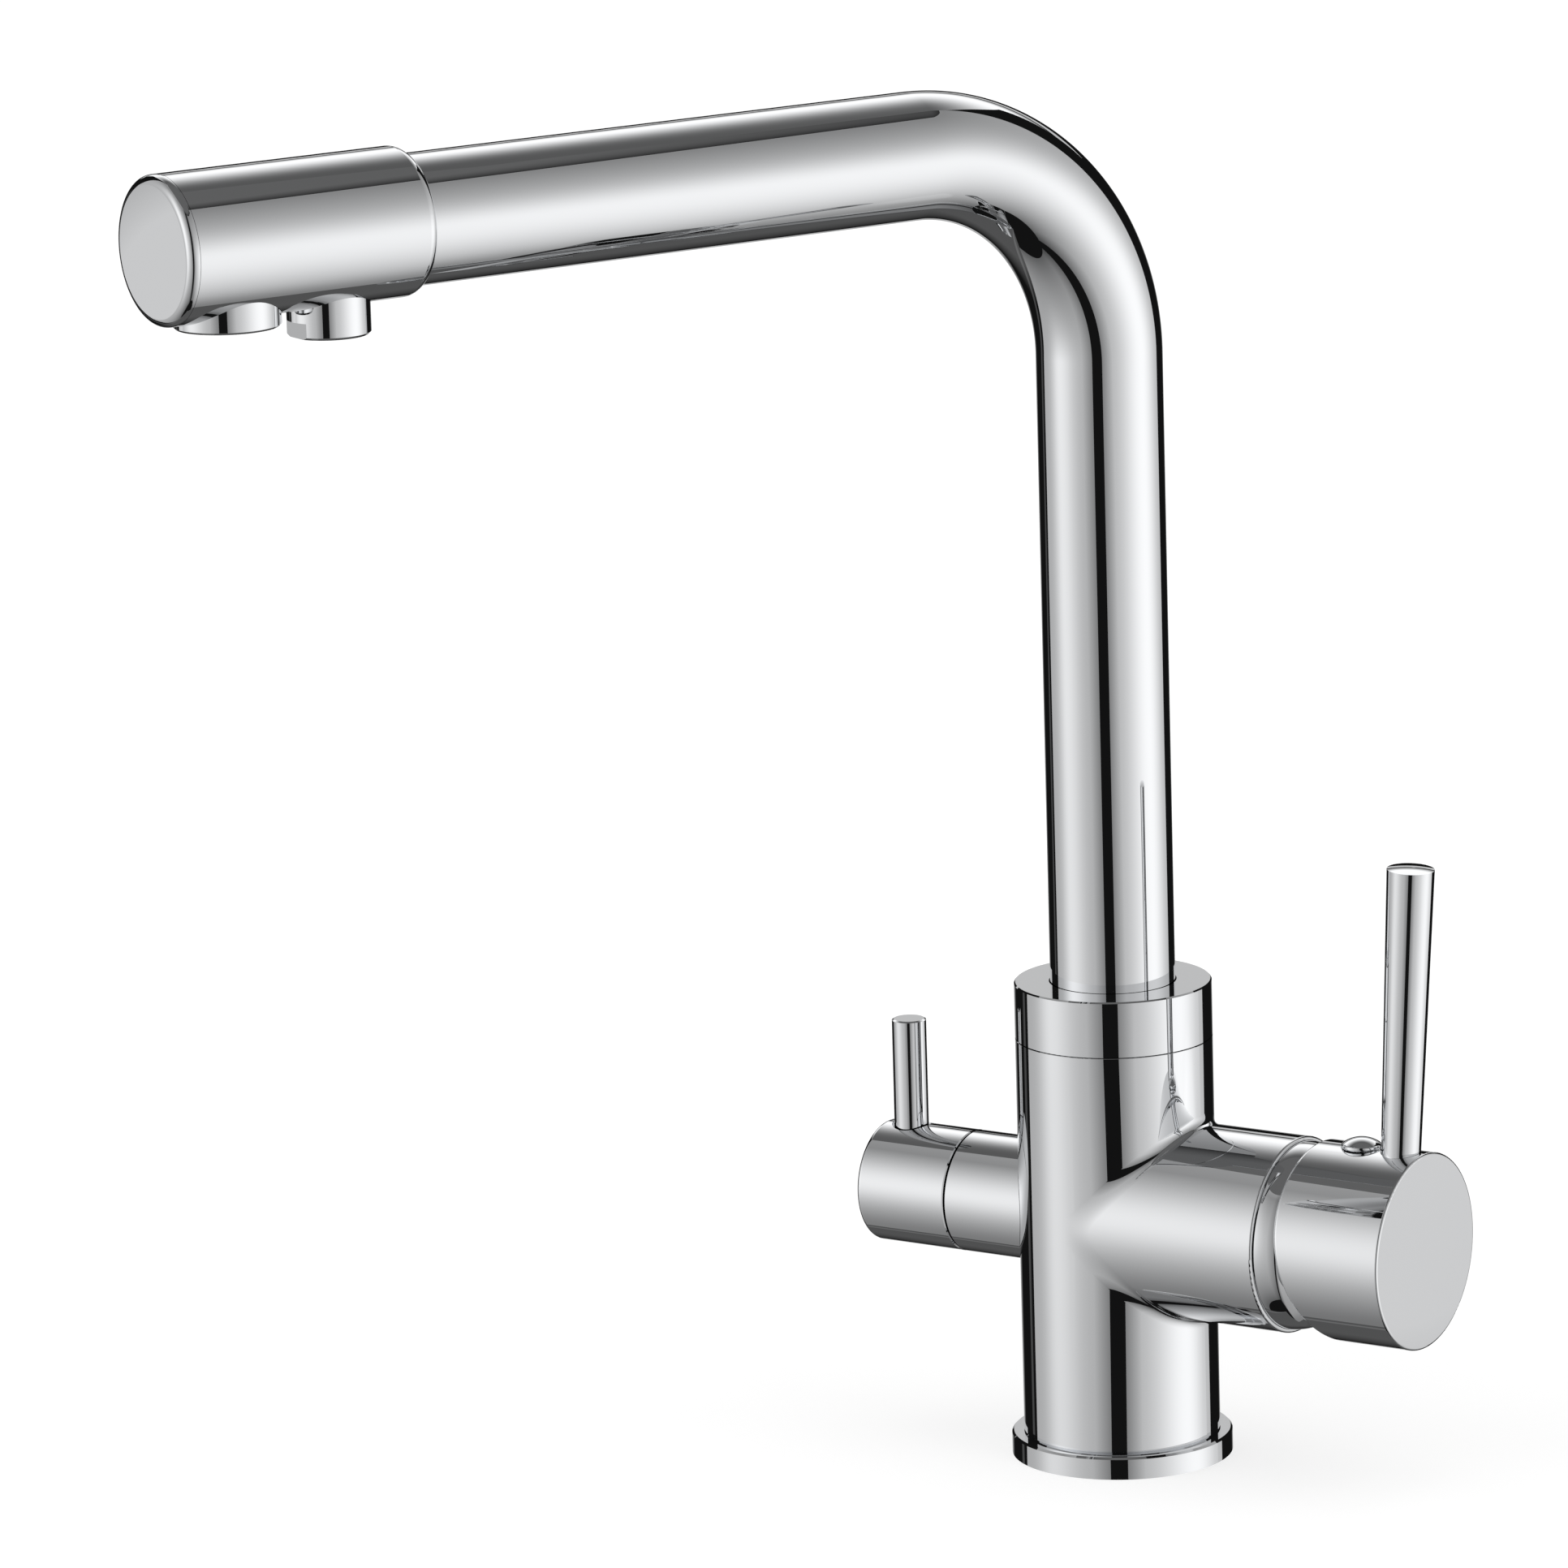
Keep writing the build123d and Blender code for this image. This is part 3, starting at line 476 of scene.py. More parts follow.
corners = [(x * FLOOR_REACH, y * FLOOR_REACH, 0) for x, y in ((-1, -1), (1, -1), (1, 1), (-1, 1))]
floor = stage_mesh("floor", corners, [(0, 1, 2, 3)], floor_material())
floor.visible_glossy = False           # the mirrors show the low part of the room instead

world = bpy.data.worlds.new("studio")
world.use_nodes = True
world_tree = world.node_tree
world_tree.nodes.clear()
sky_values = {"Color": (1, 1, 1, 1), "Strength": pick(seen_directly(world_tree), 1.0, SKY_LIGHT)}
sky = add_node(world_tree, "ShaderNodeBackground", {}, sky_values)["Background"]
add_node(world_tree, "ShaderNodeOutputWorld", {}, {"Surface": sky})
bpy.context.scene.world = world
print("sheet of", 2 * FLOOR_REACH, "m, glow from", NEAR_GLOW, "to", FAR_GLOW)

# %% Three soft lamps
LAMP_TARGET = Vector((0, 0, 0.15))
LAMPS = {
    "lamp_left": {"around": -30, "up": 40, "away": 2.0, "size": 1.6, "power": 13},
    "lamp_right": {"around": 95, "up": 40, "away": 2.0, "size": 1.6, "power": 13},
    "lamp_top": {"around": 33, "up": 85, "away": 1.8, "size": 1.8, "power": 12},
}


def lamp(name, around, up, away, size, power):
    """Hangs a square soft lamp that looks at the middle of the tap."""
    data = bpy.data.lights.new(name, "AREA")
    data.shape = "SQUARE"
    data.size = size
    data.energy = power
    light = bpy.data.objects.new(name, data)
    bpy.context.collection.objects.link(light)
    back = view_axes(math.radians(around), math.radians(up), 0)[2]
    light.location = LAMP_TARGET + away * back
    light.rotation_euler = back.to_track_quat("Z", "Y").to_euler()
    light.visible_glossy = False


for lamp_name, lamp_values in LAMPS.items():
    lamp(lamp_name, **lamp_values)
print("lamps:", ", ".join(LAMPS))

# %% [markdown]
# ## Chrome plate
#
# The brass is polished, plated with nickel and then with a very thin layer of chromium. It is a mirror, a
# little darker and bluer than silver. What tells it from a perfect one is small: the polishing wheel leaves
# a cast body very slightly wavy, and hands and cloths leave a faint haze in places. The wave goes into a
# bump, because a true displacement would be finer than the mesh, and the haze into the roughness.
#
# The casting has two things of its own. Where the column and the housing run into each other, the wheel has
# rounded the line between them, so the shading normal is turned over a few millimetres from one cylinder's
# to the other's. The threads of the holes under the foot are a bump too.

# %% Sizes and shader helpers for the chrome
CHROME_COLOUR = (0.86, 0.868, 0.880, 1)
HAZY_COLOUR = (0.83, 0.84, 0.856, 1)
POLISHED_ROUGHNESS = 0.006
HAZE_CLOUDS = 0.016                    # roughness that a full haze adds in clouds
HAZE_GRAIN = 0.012                     # and in fine grain
CLOUD_SCALE = 22.0
GRAIN_SCALE = 900.0
WAVE_SCALE = 38.0

HOUSING_HEIGHT = 60.5 * MM
COLUMN_RADIUS = 24.0 * MM
HOUSING_RADIUS = 23.9 * MM
EASING = 2.6 * MM                      # half the width of the rounded line, where the two cross squarely
LEAST_EASING = 0.15 * MM
ONLY_OUTSIDE = -0.2 * MM               # the walls inside the casting keep their own normal

THREAD_PITCH = 1.0 * MM
THREAD_DEPTH = 0.25 * MM
THREAD_HEIGHTS = (1.7 * MM, 11.5 * MM)
THREAD_REACH = 18.0 * MM               # all the holes under the foot lie this near to the column's axis


def noise(tree, place, scale, detail):
    """A soft random pattern from 0 to 1; a larger scale makes it finer."""
    values = {"Vector": place, "Scale": scale, "Detail": detail, "Roughness": 0.5}
    return add_node(tree, "ShaderNodeTexNoise", {"noise_dimensions": "3D"}, values)["Fac"]


def mix_colours(tree, share, first, second):
    """A blend of two colours, from the first at 0 to the second at 1."""
    values = {0: share, 6: first, 7: second}
    return add_node(tree, "ShaderNodeMix", {"data_type": "RGBA"}, values)["Result"]


def bumped(tree, height, depth, strength=1.0, **more):
    """A normal bumped by a height that counts as so many metres."""
    values = {"Strength": strength, "Distance": depth, "Height": height, **more}
    return add_node(tree, "ShaderNodeBump", {}, values)["Normal"]


print("junction of two cylinders, eased over", 2 * EASING / MM, "mm")


# %% The casting's own marks: threads and the rounded junction
def thread_height(tree, place):
    """Ridges round the walls of the holes under the foot, from -1 to 1."""
    split = add_node(tree, "ShaderNodeSeparateXYZ", {}, {0: place})
    ridge = (split["Z"] * (2 * math.pi / THREAD_PITCH)).math("SINE")
    in_foot = between(split["Z"], *THREAD_HEIGHTS)
    inside = (split["X"].squared() + split["Y"].squared()) < THREAD_REACH ** 2
    return ridge * in_foot * inside


def unit_vector(tree, **parts):
    """A direction from some of its X, Y and Z parts."""
    whole = add_node(tree, "ShaderNodeCombineXYZ", {}, parts)["Vector"]
    return vector_math(tree, "NORMALIZE", whole)["Vector"]


def mix_vectors(tree, share, first, second):
    """A blend of two vectors, from the first at 0 to the second at 1."""
    values = {0: share, 4: first, 5: second}
    return add_node(tree, "ShaderNodeMix", {"data_type": "VECTOR"}, values)["Result"]


def softened_junction(tree, place):
    """The casting's normal, eased over the line where the column and the housing run into each other."""
    split = add_node(tree, "ShaderNodeSeparateXYZ", {}, {0: place})
    x, y, rise = split["X"], split["Y"], split["Z"] - HOUSING_HEIGHT
    from_column_axis = (x.squared() + y.squared()).math("SQRT")
    from_housing_axis = (y.squared() + rise.squared()).math("SQRT")
    off_column = from_column_axis - COLUMN_RADIUS
    off_housing = (from_housing_axis - HOUSING_RADIUS).math("MAXIMUM", -x)
    facing = y.squared() / (from_column_axis * from_housing_axis)
    crossing = (1 - facing.squared()).math("SQRT")
    reach = (crossing * EASING).math("MAXIMUM", LEAST_EASING)
    apart = (off_column - off_housing) / reach
    share = clipped(apart * 0.5 + 0.5)
    eased = mix_vectors(tree, share, unit_vector(tree, X=x, Y=y), unit_vector(tree, Y=y, Z=rise))
    outside = off_column.math("MINIMUM", off_housing) > ONLY_OUTSIDE
    near = (apart.math("ABSOLUTE") < 1.0) * outside
    own = add_node(tree, "ShaderNodeNewGeometry")["Normal"]
    return mix_vectors(tree, near, own, eased)


# %% Chrome: a mirror with a faint haze
def chrome(name, wave, haze, casting=False):
    """Chrome plate with waves of so many metres, and a haze from 0 to 1."""
    material, tree = new_material(name)
    place = place_on_object(tree)
    cloud = noise(tree, place, CLOUD_SCALE, 3.0)
    grain = noise(tree, place, GRAIN_SCALE, 2.0)
    tint = mix_colours(tree, cloud * 0.5, CHROME_COLOUR, HAZY_COLOUR)
    rough = POLISHED_ROUGHNESS + haze * (HAZE_CLOUDS * cloud + HAZE_GRAIN * grain)
    height = noise(tree, place, WAVE_SCALE, 1.0)
    if casting:
        height = height + thread_height(tree, place) * (THREAD_DEPTH / wave)
        normal = bumped(tree, height, wave, Normal=softened_junction(tree, place))
    else:
        normal = bumped(tree, height, wave)
    values = {"Base Color": tint, "Metallic": 1.0, "Roughness": rough, "Normal": normal}
    return end_material(material, add_node(tree, "ShaderNodeBsdfPrincipled", {}, values)["BSDF"])


CHROME_FINISHES = {                    # the waves in metres, the haze, and whether it is the casting
    "chrome_body": (6e-6, 0.8, True),
    "chrome_mixer": (4e-6, 0.7),
    "chrome_filter_valve": (3e-6, 0.7),
    "chrome_spout": (4e-6, 0.6),
    "chrome_nozzle": (4e-6, 0.7),
    "chrome_outlets": (2e-6, 0.9),
    "chrome_plug": (3e-6, 0.8),
}
finishes = {name: chrome(name, *values) for name, values in CHROME_FINISHES.items()}
print("chrome finishes:", len(finishes))

# %% [markdown]
# ## The other materials
#
# Little else shows: the black seal under the foot, the pale screens in the outlets, and the edges of what
# is inside. They are made as they would be moulded or turned. Rubber is dark and dull with a fine grain,
# moulded plastic has a slight orange-peel, turned brass and steel have fine rings from the lathe, and the
# lapped ceramic of the valve discs is smooth and almost white.

# %% Two ways of making: moulded and turned
MOTTLE_SCALE = 60.0
MOTTLE_SHADE = 0.90                    # the darker colour as a share of the lighter one
SKIN_ROUGHNESS = 0.08                  # how far the fine skin changes the roughness
DULL_SCALE = 80.0
DULL_SHADE = 0.80
DULL_ROUGHNESS = 0.1
RING_DEPTH = 4e-6


def shades(tree, share, colour, shade):
    """A colour that goes over into a darker one of the same hue."""
    darker = tuple(shade * part for part in colour)
    return mix_colours(tree, share, (*colour, 1), (*darker, 1))


def moulded(name, colour, rough, grain_scale, grain_depth):
    """A moulded material with an even colour, a faint mottle and a fine skin."""
    material, tree = new_material(name)
    place = place_on_object(tree)
    tint = shades(tree, noise(tree, place, MOTTLE_SCALE, 3.0), colour, MOTTLE_SHADE)
    skin = noise(tree, place, grain_scale, 3.0)
    roughness = rough + SKIN_ROUGHNESS * (skin - 0.5)
    values = {"Base Color": tint, "Roughness": roughness, "Normal": bumped(tree, skin, grain_depth)}
    return end_material(material, add_node(tree, "ShaderNodeBsdfPrincipled", {}, values)["BSDF"])


def lathe_turned(name, colour, rough, ring_pitch):
    """A turned metal with fine tool rings along its length."""
    material, tree = new_material(name)
    place = place_on_object(tree)
    split = add_node(tree, "ShaderNodeSeparateXYZ", {}, {0: place})
    rings = ((split["X"] + split["Z"]) * (2 * math.pi / ring_pitch)).math("SINE")
    dull = noise(tree, place, DULL_SCALE, 3.0)
    roughness = rough + DULL_ROUGHNESS * dull
    normal = bumped(tree, rings, RING_DEPTH, strength=0.5)
    values = {"Base Color": shades(tree, dull, colour, DULL_SHADE), "Metallic": 1.0,
              "Roughness": roughness, "Normal": normal}
    return end_material(material, add_node(tree, "ShaderNodeBsdfPrincipled", {}, values)["BSDF"])


# %% Rubber, plastics, ceramic, brass and steel
MOULDED_FINISHES = {                   # colour, roughness, scale of the grain and its depth in metres
    "rubber": ((0.022, 0.022, 0.023), 0.62, 1400.0, 2e-5),
    "cartridge_plastic": ((0.58, 0.59, 0.60), 0.42, 700.0, 8e-6),
    "natural_plastic": ((0.84, 0.84, 0.80), 0.38, 500.0, 6e-6),
    "aerator_plastic": ((0.74, 0.75, 0.76), 0.34, 700.0, 6e-6),
    "ceramic": ((0.88, 0.88, 0.85), 0.16, 2500.0, 1e-6),
}
TURNED_FINISHES = {                    # colour, roughness and pitch of the tool rings
    "brass": ((0.80, 0.62, 0.32), 0.18, 0.22 * MM),
    "steel": ((0.60, 0.60, 0.61), 0.20, 0.18 * MM),
}
finishes.update({name: moulded(name, *values) for name, values in MOULDED_FINISHES.items()})
finishes.update({name: lathe_turned(name, *values) for name, values in TURNED_FINISHES.items()})
for node in frame["record"]["subparts"]:
    for slot in bpy.data.objects[node["node"]].material_slots:
        slot.material = finishes[node["material_slot"]]
print("finishes in use:", ", ".join(sorted(finishes)))

# %% [markdown]
# ## Geometry Nodes in a script
#
# Some shapes are better given by their rule than by their points. A node tree holds the rule, its inputs
# are the sizes that a reader may want to change, and a run of it gives an ordinary mesh. The helpers below
# make a tree with named inputs, run it once, and hand back a finished piece with nothing left live on it.

# %% Run a node tree once and keep its mesh
def geometry_tree(name, inputs):
    """A tree with named inputs and one geometry output, and the signals that carry the inputs inside."""
    tree = bpy.data.node_groups.new(name, "GeometryNodeTree")
    tree.interface.new_socket("Geometry", in_out="OUTPUT", socket_type="NodeSocketGeometry")
    for label, kind in inputs.items():
        tree.interface.new_socket(label, in_out="INPUT", socket_type=kind)
    entry = add_node(tree, "NodeGroupInput")
    return tree, entry


def close_tree(tree, geometry, material):
    """Turns instances into real faces, gives them their finish and ends the tree."""
    solid = add_node(tree, "GeometryNodeRealizeInstances", {}, {"Geometry": geometry})["Geometry"]
    shaded = add_node(tree, "GeometryNodeSetShadeSmooth", {}, {"Geometry": solid})["Geometry"]
    painted = add_node(tree, "GeometryNodeSetMaterial", {}, {"Geometry": shaded, "Material": material})
    add_node(tree, "NodeGroupOutput", {}, {"Geometry": painted["Geometry"]})


def run_tree(tree, piece_name, sizes):
    """Evaluates the tree on an empty mesh and returns a new piece with the resulting mesh."""
    carrier = bpy.data.objects.new(piece_name + "_carrier", bpy.data.meshes.new("empty"))
    bpy.context.collection.objects.link(carrier)
    modifier = carrier.modifiers.new("rule", "NODES")
    modifier.node_group = tree
    entries = [item for item in tree.interface.items_tree if item.in_out == "INPUT"]
    keys = {item.name: item.identifier for item in entries}
    for label, value in sizes.items():
        modifier[keys[label]] = value
    evaluated = carrier.evaluated_get(bpy.context.evaluated_depsgraph_get())
    mesh = bpy.data.meshes.new_from_object(evaluated)
    mesh.name = piece_name
    bpy.data.objects.remove(carrier)
    piece = bpy.data.objects.new(piece_name, mesh)
    bpy.context.collection.objects.link(piece)
    print(piece_name, "has", len(mesh.polygons), "faces")
    return piece


print("helpers for Geometry Nodes are ready")

# %% [markdown]
# ## The spout tube
#
# The spout is a straight drawn tube bent once over a former. Its rule is short: go up the column, round one
# corner of a fixed radius, and out along the arm, carrying a circle. Read from the frame, the tube's box
# gives the height of the arm. A fine circle matters here, because the spout is the longest mirror of the
# whole object, and each flat on it would show as a kink in the stripes.

# %% The spout's rule: a circle carried round one corner
SPOUT_TURN = math.radians(-114.3)
TUBE_RADIUS = 15.2 * MM
TUBE_WALL = 1.2 * MM
BEND_RADIUS = 53.0 * MM
TUBE_FOOT = 112.4 * MM
TUBE_END = 199.8 * MM
BEND_STEPS = 96
TUBE_SIDES = 160
SHARP_FROM = math.radians(40)          # an edge this sharp keeps its crease
arm_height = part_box("spout_tube")[1][2] - TUBE_RADIUS


def spout_rule():
    """A line up and out through three points, rounded at the corner and given the tube's circle."""
    names = ("Foot", "Arm Height", "Reach", "Bend Radius", "Tube Radius")
    sizes = {name: "NodeSocketFloat" for name in names}
    tree, entry = geometry_tree("swept_tube", {**sizes, "Finish": "NodeSocketMaterial"})
    corner = add_node(tree, "GeometryNodeInputIndex")["Index"]
    rise = corner.math("MINIMUM", 1.0) * (entry["Arm Height"] - entry["Foot"]) + entry["Foot"]
    out = (corner - 1.0).math("MAXIMUM", 0.0) * entry["Reach"]
    spot = add_node(tree, "ShaderNodeCombineXYZ", {}, {"X": out, "Z": rise})["Vector"]
    line = add_node(tree, "GeometryNodeMeshLine", {}, {"Count": 3})["Mesh"]
    bent = add_node(tree, "GeometryNodeSetPosition", {}, {"Geometry": line, "Position": spot})["Geometry"]
    path = add_node(tree, "GeometryNodeMeshToCurve", {}, {"Mesh": bent})["Curve"]
    values = {"Curve": path, "Radius": entry["Bend Radius"], "Count": BEND_STEPS}
    rounded = add_node(tree, "GeometryNodeFilletCurve", {"mode": "POLY"}, values)["Curve"]
    circle = {"Resolution": TUBE_SIDES, "Radius": entry["Tube Radius"]}
    ring = add_node(tree, "GeometryNodeCurvePrimitiveCircle", {}, circle)["Curve"]
    values = {"Curve": rounded, "Profile Curve": ring}
    tube = add_node(tree, "GeometryNodeCurveToMesh", {}, values)["Mesh"]
    close_tree(tree, tube, entry["Finish"])
    return tree


tube_rule = spout_rule()
print("rule of the spout:", len(tube_rule.nodes), "nodes")


# %% The spout made by its rule, and given its wall
def faces_outwards(mesh, middle):
    """True where the first face looks away from a point inside the piece."""
    face = mesh.polygons[0]
    return face.normal.dot(face.center - middle) > 0


def apply_modifier(piece, name, kind, **settings):
    """Adds a modifier, keeps its result as the piece's mesh, and takes the modifier off again."""
    modifier = piece.modifiers.new(name, kind)
    for key, value in settings.items():
        setattr(modifier, key, value)
    evaluated = piece.evaluated_get(bpy.context.evaluated_depsgraph_get())
    mesh = bpy.data.meshes.new_from_object(evaluated)
    piece.modifiers.clear()
    piece.data = mesh


spout = run_tree(tube_rule, "spout_tube_polished", {
    "Foot": TUBE_FOOT,
    "Arm Height": arm_height,
    "Reach": TUBE_END,
    "Bend Radius": BEND_RADIUS,
    "Tube Radius": TUBE_RADIUS,
    "Finish": finishes["chrome_spout"],
})
first_face = spout.data.polygons[0]
if not faces_outwards(spout.data, Vector((0, 0, first_face.center.z))):
    spout.data.flip_normals()
apply_modifier(spout, "wall", "SOLIDIFY", thickness=TUBE_WALL, offset=-1.0)
spout.data.transform(Matrix.Rotation(SPOUT_TURN, 4, "Z"))
spout.data.set_sharp_from_angle(angle=SHARP_FROM)
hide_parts("spout_tube")
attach(spout, "spout")

# %% [markdown]
# ## The bright neck behind the lever cap
#
# Between the housing's end and the lever's cap a thin turned shell shows. It hides the cartridge while the
# cap swings up and down over it. On the real tap it is turned from brass tube and plated, with a shoulder
# that rolls over without any edge. It is made here as the lathe makes it: a profile of a straight skirt and
# two arcs that meet without a kink, turned about the valve's axis. The inner wall runs parallel to the
# outer one, and the flat end reaches far in, so that the inside stays hidden when the cap swings away.

# %% The shroud's profile
SHROUD_WALL = 1.3                      # the profile's sizes are in millimetres
SKIRT_RADIUS = 22.9
SKIRT = (45.5, 51.3)                   # where the skirt starts and ends along the axis
SHOULDER_RADIUS = 13.6
ROLL_RADIUS = 2.2
TURNS = (0.0, 22.0, 44.0)              # degrees that the profile has turned where each arc starts and ends
SHOULDER_STEPS = 14
ROLL_STEPS = 8
MOUTH_EDGE = {"middle": (59.37, 18.26), "radius": 0.8, "first": 44.0, "last": 90.0, "count": 6}
MOUTH = (60.17, 13.0)                  # the flat end reaches in this far, clear of the swinging stem
INNER_CORNER = (58.87, 18.06)


def arc_points(middle, radius, first, last, count):
    """Points along and out from the axis on an arc; its angle is 0 straight out from the axis."""
    turns = [math.radians(first + (last - first) * step / count) for step in range(count + 1)]
    along, out = middle
    return [(along + radius * math.sin(turn), out + radius * math.cos(turn)) for turn in turns]


def shroud_side(inset, end):
    """The profile from the skirt to the given points of the end, so far inside the outer surface."""
    shoulder = (SKIRT[1], SKIRT_RADIUS - SHOULDER_RADIUS)
    turn = math.radians(TURNS[1])
    step = SHOULDER_RADIUS - ROLL_RADIUS
    roll = (shoulder[0] + step * math.sin(turn), shoulder[1] + step * math.cos(turn))
    points = [(SKIRT[0], SKIRT_RADIUS - inset)]
    points += arc_points(shoulder, SHOULDER_RADIUS - inset, TURNS[0], TURNS[1], SHOULDER_STEPS)
    points += arc_points(roll, ROLL_RADIUS - inset, TURNS[1], TURNS[2], ROLL_STEPS)[1:]
    return points + end


outside = shroud_side(0, arc_points(**MOUTH_EDGE) + [MOUTH])
inside = shroud_side(SHROUD_WALL, [INNER_CORNER, (INNER_CORNER[0], MOUTH[1])])
shroud_profile = outside + inside[::-1]
print("shroud profile of", len(shroud_profile), "points")

# %% Shroud: the profile turned about the valve's axis
TURNING_STEPS = 192
WELD_WITHIN = 1e-7


def turned_piece(name, profile, place, slot):
    """A piece from a profile of points along and out from an axis; place() puts such a point in space."""
    closed = profile[0][1] > 0         # a profile that starts off the axis runs back to its start
    points = []
    for along, out in profile:
        for step in range(TURNING_STEPS):
            points.append(place(along * MM, out * MM, 2 * math.pi * step / TURNING_STEPS))
    faces = []
    for row in range(len(profile) if closed else len(profile) - 1):
        here, above = row * TURNING_STEPS, (row + 1) % len(profile) * TURNING_STEPS
        for step in range(TURNING_STEPS):
            beside = (step + 1) % TURNING_STEPS
            faces.append((here + step, here + beside, above + beside, above + step))
    mesh = bpy.data.meshes.new(name)
    mesh.from_pydata(points, [], faces)
    shape = bmesh.new()
    shape.from_mesh(mesh)
    bmesh.ops.remove_doubles(shape, verts=shape.verts, dist=WELD_WITHIN)
    bmesh.ops.recalc_face_normals(shape, faces=shape.faces)
    shape.to_mesh(mesh)
    shape.free()
    mesh.shade_smooth()
    mesh.set_sharp_from_angle(angle=SHARP_FROM)
    mesh.materials.append(finishes[slot])
    piece = bpy.data.objects.new(name, mesh)
    bpy.context.collection.objects.link(piece)
    print(name, "has", len(mesh.polygons), "faces")
    return piece


def about_valve_axis(along, out, turn):
    """A point so far along the housing's axis and so far out from it."""
    return along, out * math.cos(turn), HOUSING_HEIGHT + out * math.sin(turn)


shroud = turned_piece("dome_shroud_polished", shroud_profile, about_valve_axis, "chrome_mixer")
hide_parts("dome_shroud")
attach(shroud, "body")

# %% [markdown]
# ## The index plug
#
# The small button on the lever's cap closes the hole of the screw that holds the lever. It is a moulded
# plug with a plated crown: a low dome whose rim is rolled under, so that it seems to float a little above
# the cap. The rolled rim is what draws the black line round it. Its profile starts at the bottom of the pin
# and runs up the outside, with one small arc for the rim and one wide arc for the crown.

# %% Plug: pin, rolled rim and low crown
PLUG_PLACE = 68.5 * MM
PLUG_PIN = [(16.0, 0.0), (16.0, 1.9), (23.0, 1.9), (23.0, 4.3)]
RIM_MIDDLE = (24.3, 4.15)              # along and out, in millimetres, as the points of the pin
RIM_RADIUS = 0.7
RIM_TURNS = (160.0, 34.5)              # degrees from straight up, from under the rim to the crown
RIM_STEPS = 14
CROWN_TOP = 26.3
CROWN_RADIUS = 7.973
CROWN_STEPS = 12


def plug_profile():
    """The points from the bottom of the pin over the rolled rim to the top of the crown."""
    under, over = (90 - turn for turn in RIM_TURNS)
    rim = arc_points(RIM_MIDDLE, RIM_RADIUS, under, over, RIM_STEPS)
    crown = arc_points((CROWN_TOP - CROWN_RADIUS, 0.0), CROWN_RADIUS, over, 90, CROWN_STEPS)
    return PLUG_PIN + rim + crown[1:-1] + [(CROWN_TOP, 0.0)]


def about_plug_axis(along, out, turn):
    """A point so far up the plug's axis and so far out from it."""
    return PLUG_PLACE + out * math.cos(turn), out * math.sin(turn), HOUSING_HEIGHT + along


plug = turned_piece("index_plug_polished", plug_profile(), about_plug_axis, "chrome_plug")
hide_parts("index_plug")
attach(plug, "lever")

# %% [markdown]
# ## Gauze in the outlets
#
# Behind the perforated disc of an outlet lies a round of woven steel wire, which breaks the water up and
# holds back grit. It is the finest part of the tap and is seen only from below, through the holes. Wires
# that cross over and under each other follow a simple rule: a wire lifts where the product of two waves is
# high and dips where it is low, and the wires across it do the opposite. The tree lays straight wires,
# stretches each to its chord of the circle, and then lifts and dips their points. The wires across are the
# same ones again, turned a quarter round and put upside down.

# %% The gauze's rule: two rows of waved wires
WIRE_PITCH = 0.9 * MM
WIRE_RADIUS = 0.11 * MM
WIRE_POINTS = 61
WIRE_SIDES = 6
GAUZES = {                             # the insert, the room at its rim and the height above its foot
    "main_gauze": ("main_aerator_insert", 1.3 * MM, 3.1 * MM),
    "filtered_gauze": ("filtered_outlet_insert", 1.1 * MM, 2.7 * MM),
}


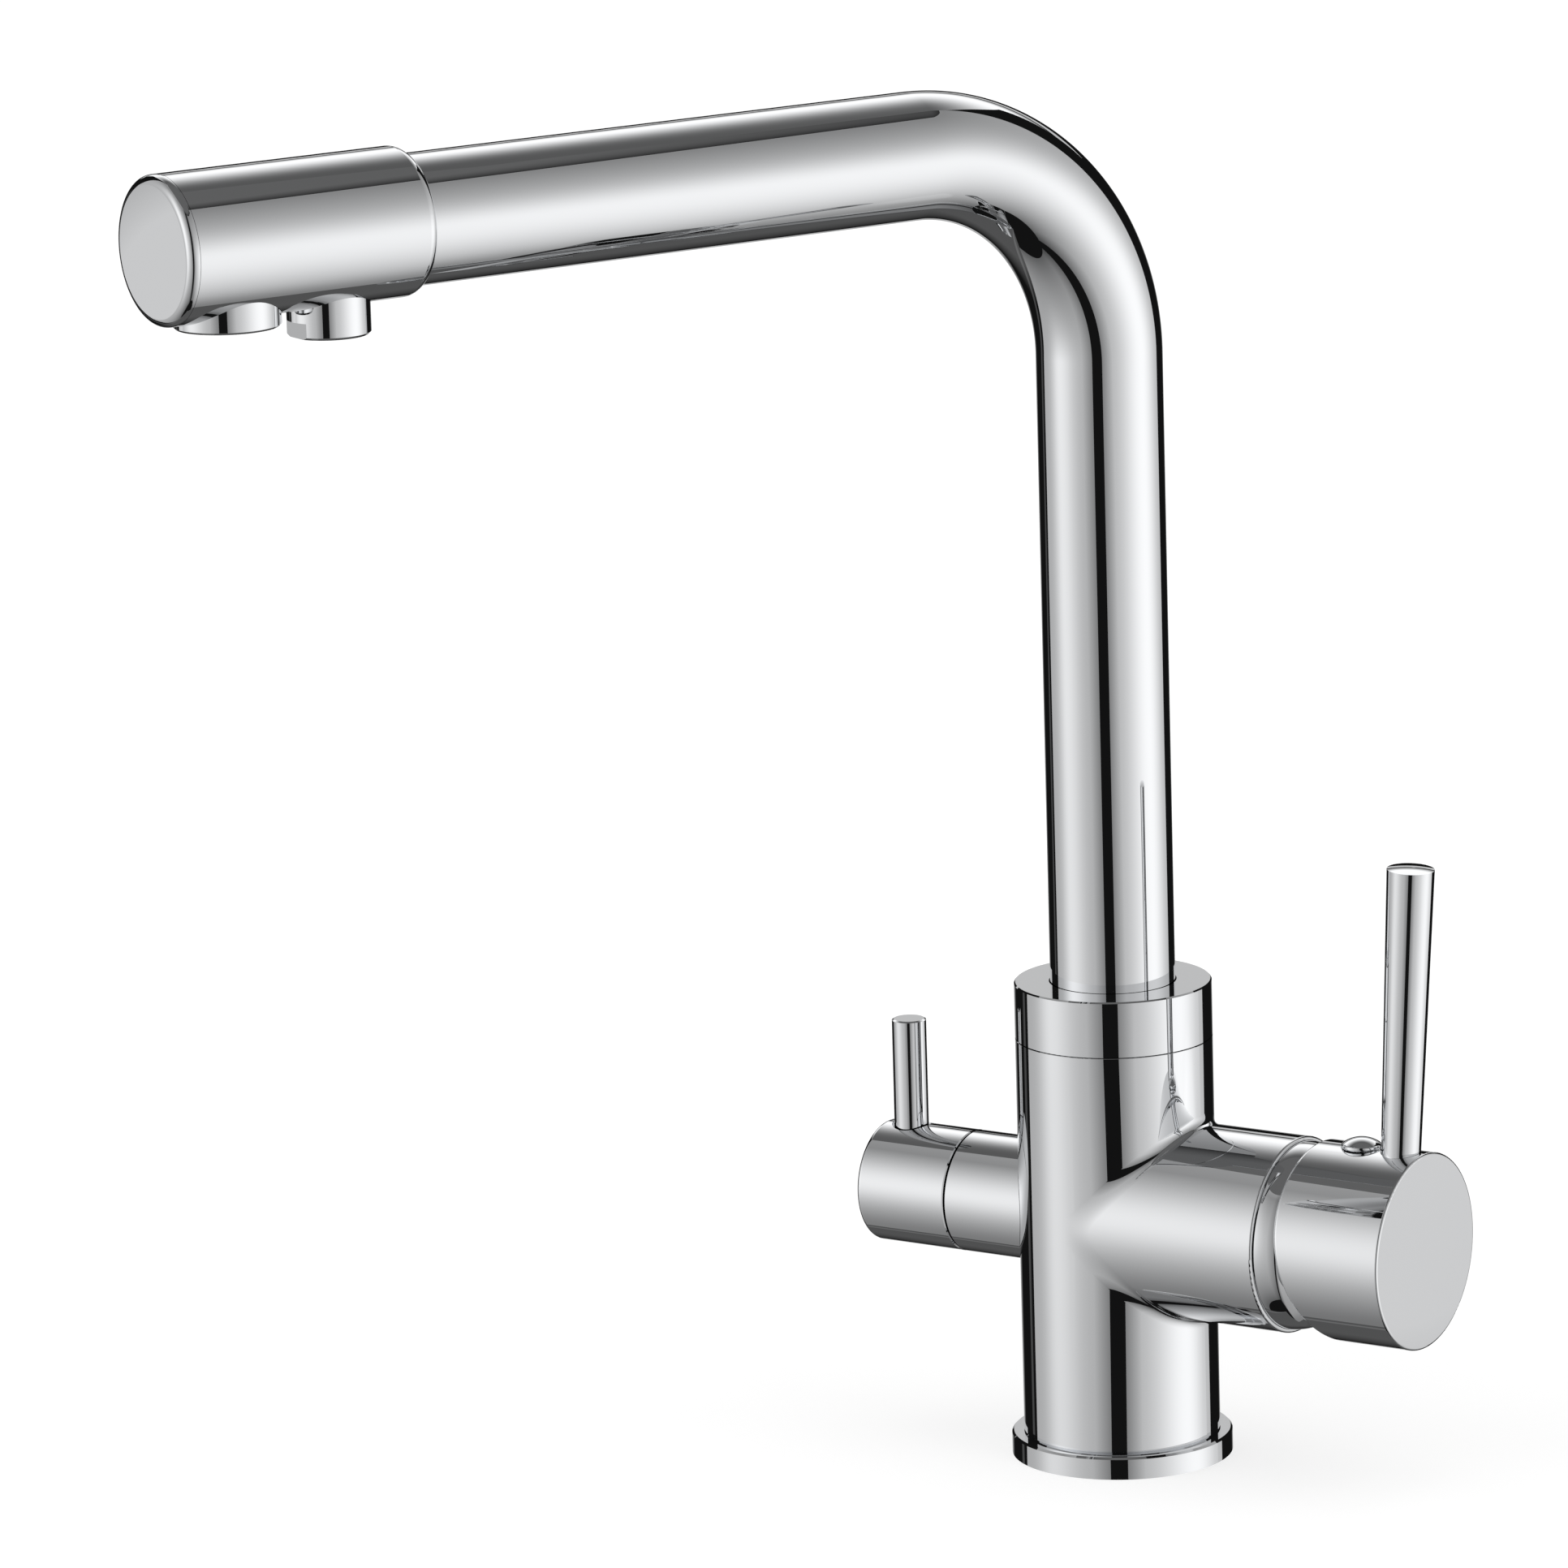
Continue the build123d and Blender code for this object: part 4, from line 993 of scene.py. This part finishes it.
def gauze_rule():
    """Straight wires cut to a circle and waved, and the same wires again across them, waved oppositely."""
    sizes = {name: "NodeSocketFloat" for name in ("Radius", "Pitch", "Wire Radius")}
    kinds = {**sizes, "Wires": "NodeSocketInt", "Finish": "NodeSocketMaterial"}
    tree, entry = geometry_tree("woven_gauze", kinds)
    half = entry["Pitch"] * (entry["Wires"] - 1.0) / 2.0
    first = add_node(tree, "ShaderNodeCombineXYZ", {}, {"Y": -half})["Vector"]
    step = add_node(tree, "ShaderNodeCombineXYZ", {}, {"Y": entry["Pitch"]})["Vector"]
    values = {"Count": entry["Wires"], "Start Location": first, "Offset": step}
    rows = add_node(tree, "GeometryNodeMeshLine", {}, values)["Mesh"]
    ends = {"Start": (-1, 0, 0), "End": (1, 0, 0)}
    line = add_node(tree, "GeometryNodeCurvePrimitiveLine", {}, ends)["Curve"]
    fine = add_node(tree, "GeometryNodeResampleCurve", {}, {"Curve": line, "Count": WIRE_POINTS})["Curve"]
    circle = {"Resolution": WIRE_SIDES, "Radius": entry["Wire Radius"]}
    ring = add_node(tree, "GeometryNodeCurvePrimitiveCircle", {}, circle)["Curve"]
    values = {"Curve": fine, "Profile Curve": ring, "Fill Caps": True}
    wire = add_node(tree, "GeometryNodeCurveToMesh", {}, values)["Mesh"]
    spot = add_node(tree, "GeometryNodeInputPosition")["Position"]
    offset = add_node(tree, "ShaderNodeSeparateXYZ", {}, {0: spot})["Y"]
    chord = (entry["Radius"].squared() - offset.squared()).math("SQRT")
    stretch = add_node(tree, "ShaderNodeCombineXYZ", {}, {"X": chord, "Y": 1.0, "Z": 1.0})["Vector"]
    values = {"Points": rows, "Instance": wire, "Scale": stretch}
    laid = add_node(tree, "GeometryNodeInstanceOnPoints", {}, values)["Instances"]
    row_wires = add_node(tree, "GeometryNodeRealizeInstances", {}, {"Geometry": laid})["Geometry"]
    waves = weave(tree, row_wires, entry["Pitch"], entry["Wire Radius"])
    crossing = waves
    for rotation in ((0, 0, math.pi / 2), (math.pi, 0, 0)):
        values = {"Geometry": crossing, "Rotation": rotation}
        crossing = add_node(tree, "GeometryNodeTransform", {}, values)["Geometry"]
    join = add_node(tree, "GeometryNodeJoinGeometry", {}, {"Geometry": waves})
    tree.links.new(crossing.socket, join.node.inputs["Geometry"])
    close_tree(tree, join["Geometry"], entry["Finish"])
    return tree


def weave(tree, wires, pitch, lift):
    """Lifts each point of the wires by the product of two waves across the gauze."""
    spot = add_node(tree, "GeometryNodeInputPosition")["Position"]
    split = add_node(tree, "ShaderNodeSeparateXYZ", {}, {0: spot})
    across = (split["X"] / pitch * math.pi).math("COSINE")
    along = (split["Y"] / pitch * math.pi).math("COSINE")
    rise = add_node(tree, "ShaderNodeCombineXYZ", {}, {"Z": across * along * lift})["Vector"]
    return add_node(tree, "GeometryNodeSetPosition", {}, {"Geometry": wires, "Offset": rise})["Geometry"]


rule = gauze_rule()
print("rule of the gauze:", len(rule.nodes), "nodes")


# %% A round of gauze in each outlet
def lay_gauze(name, insert, tree, rim_room, height):
    """Puts a round of gauze inside an outlet's insert, so far above its lower face."""
    low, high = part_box(insert)
    radius = (high[0] - low[0]) / 2 - rim_room
    middle = Vector(((low[0] + high[0]) / 2, (low[1] + high[1]) / 2, low[2] + height))
    count = 2 * int(radius / WIRE_PITCH) + 1
    sizes = {"Radius": radius, "Pitch": WIRE_PITCH, "Wire Radius": WIRE_RADIUS, "Wires": count}
    gauze = run_tree(tree, name, {**sizes, "Finish": finishes["steel"]})
    gauze.data.transform(Matrix.Translation(middle))
    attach(gauze, "spout")


for gauze_name, (insert_name, *sizes) in GAUZES.items():
    lay_gauze(gauze_name, insert_name, rule, *sizes)

# %% [markdown]
#
# The chrome has to keep its full range from black to white, so the plain display transform is used and
# nothing is graded afterwards.

# %% Finish
bpy.context.scene.view_settings.view_transform = "Standard"
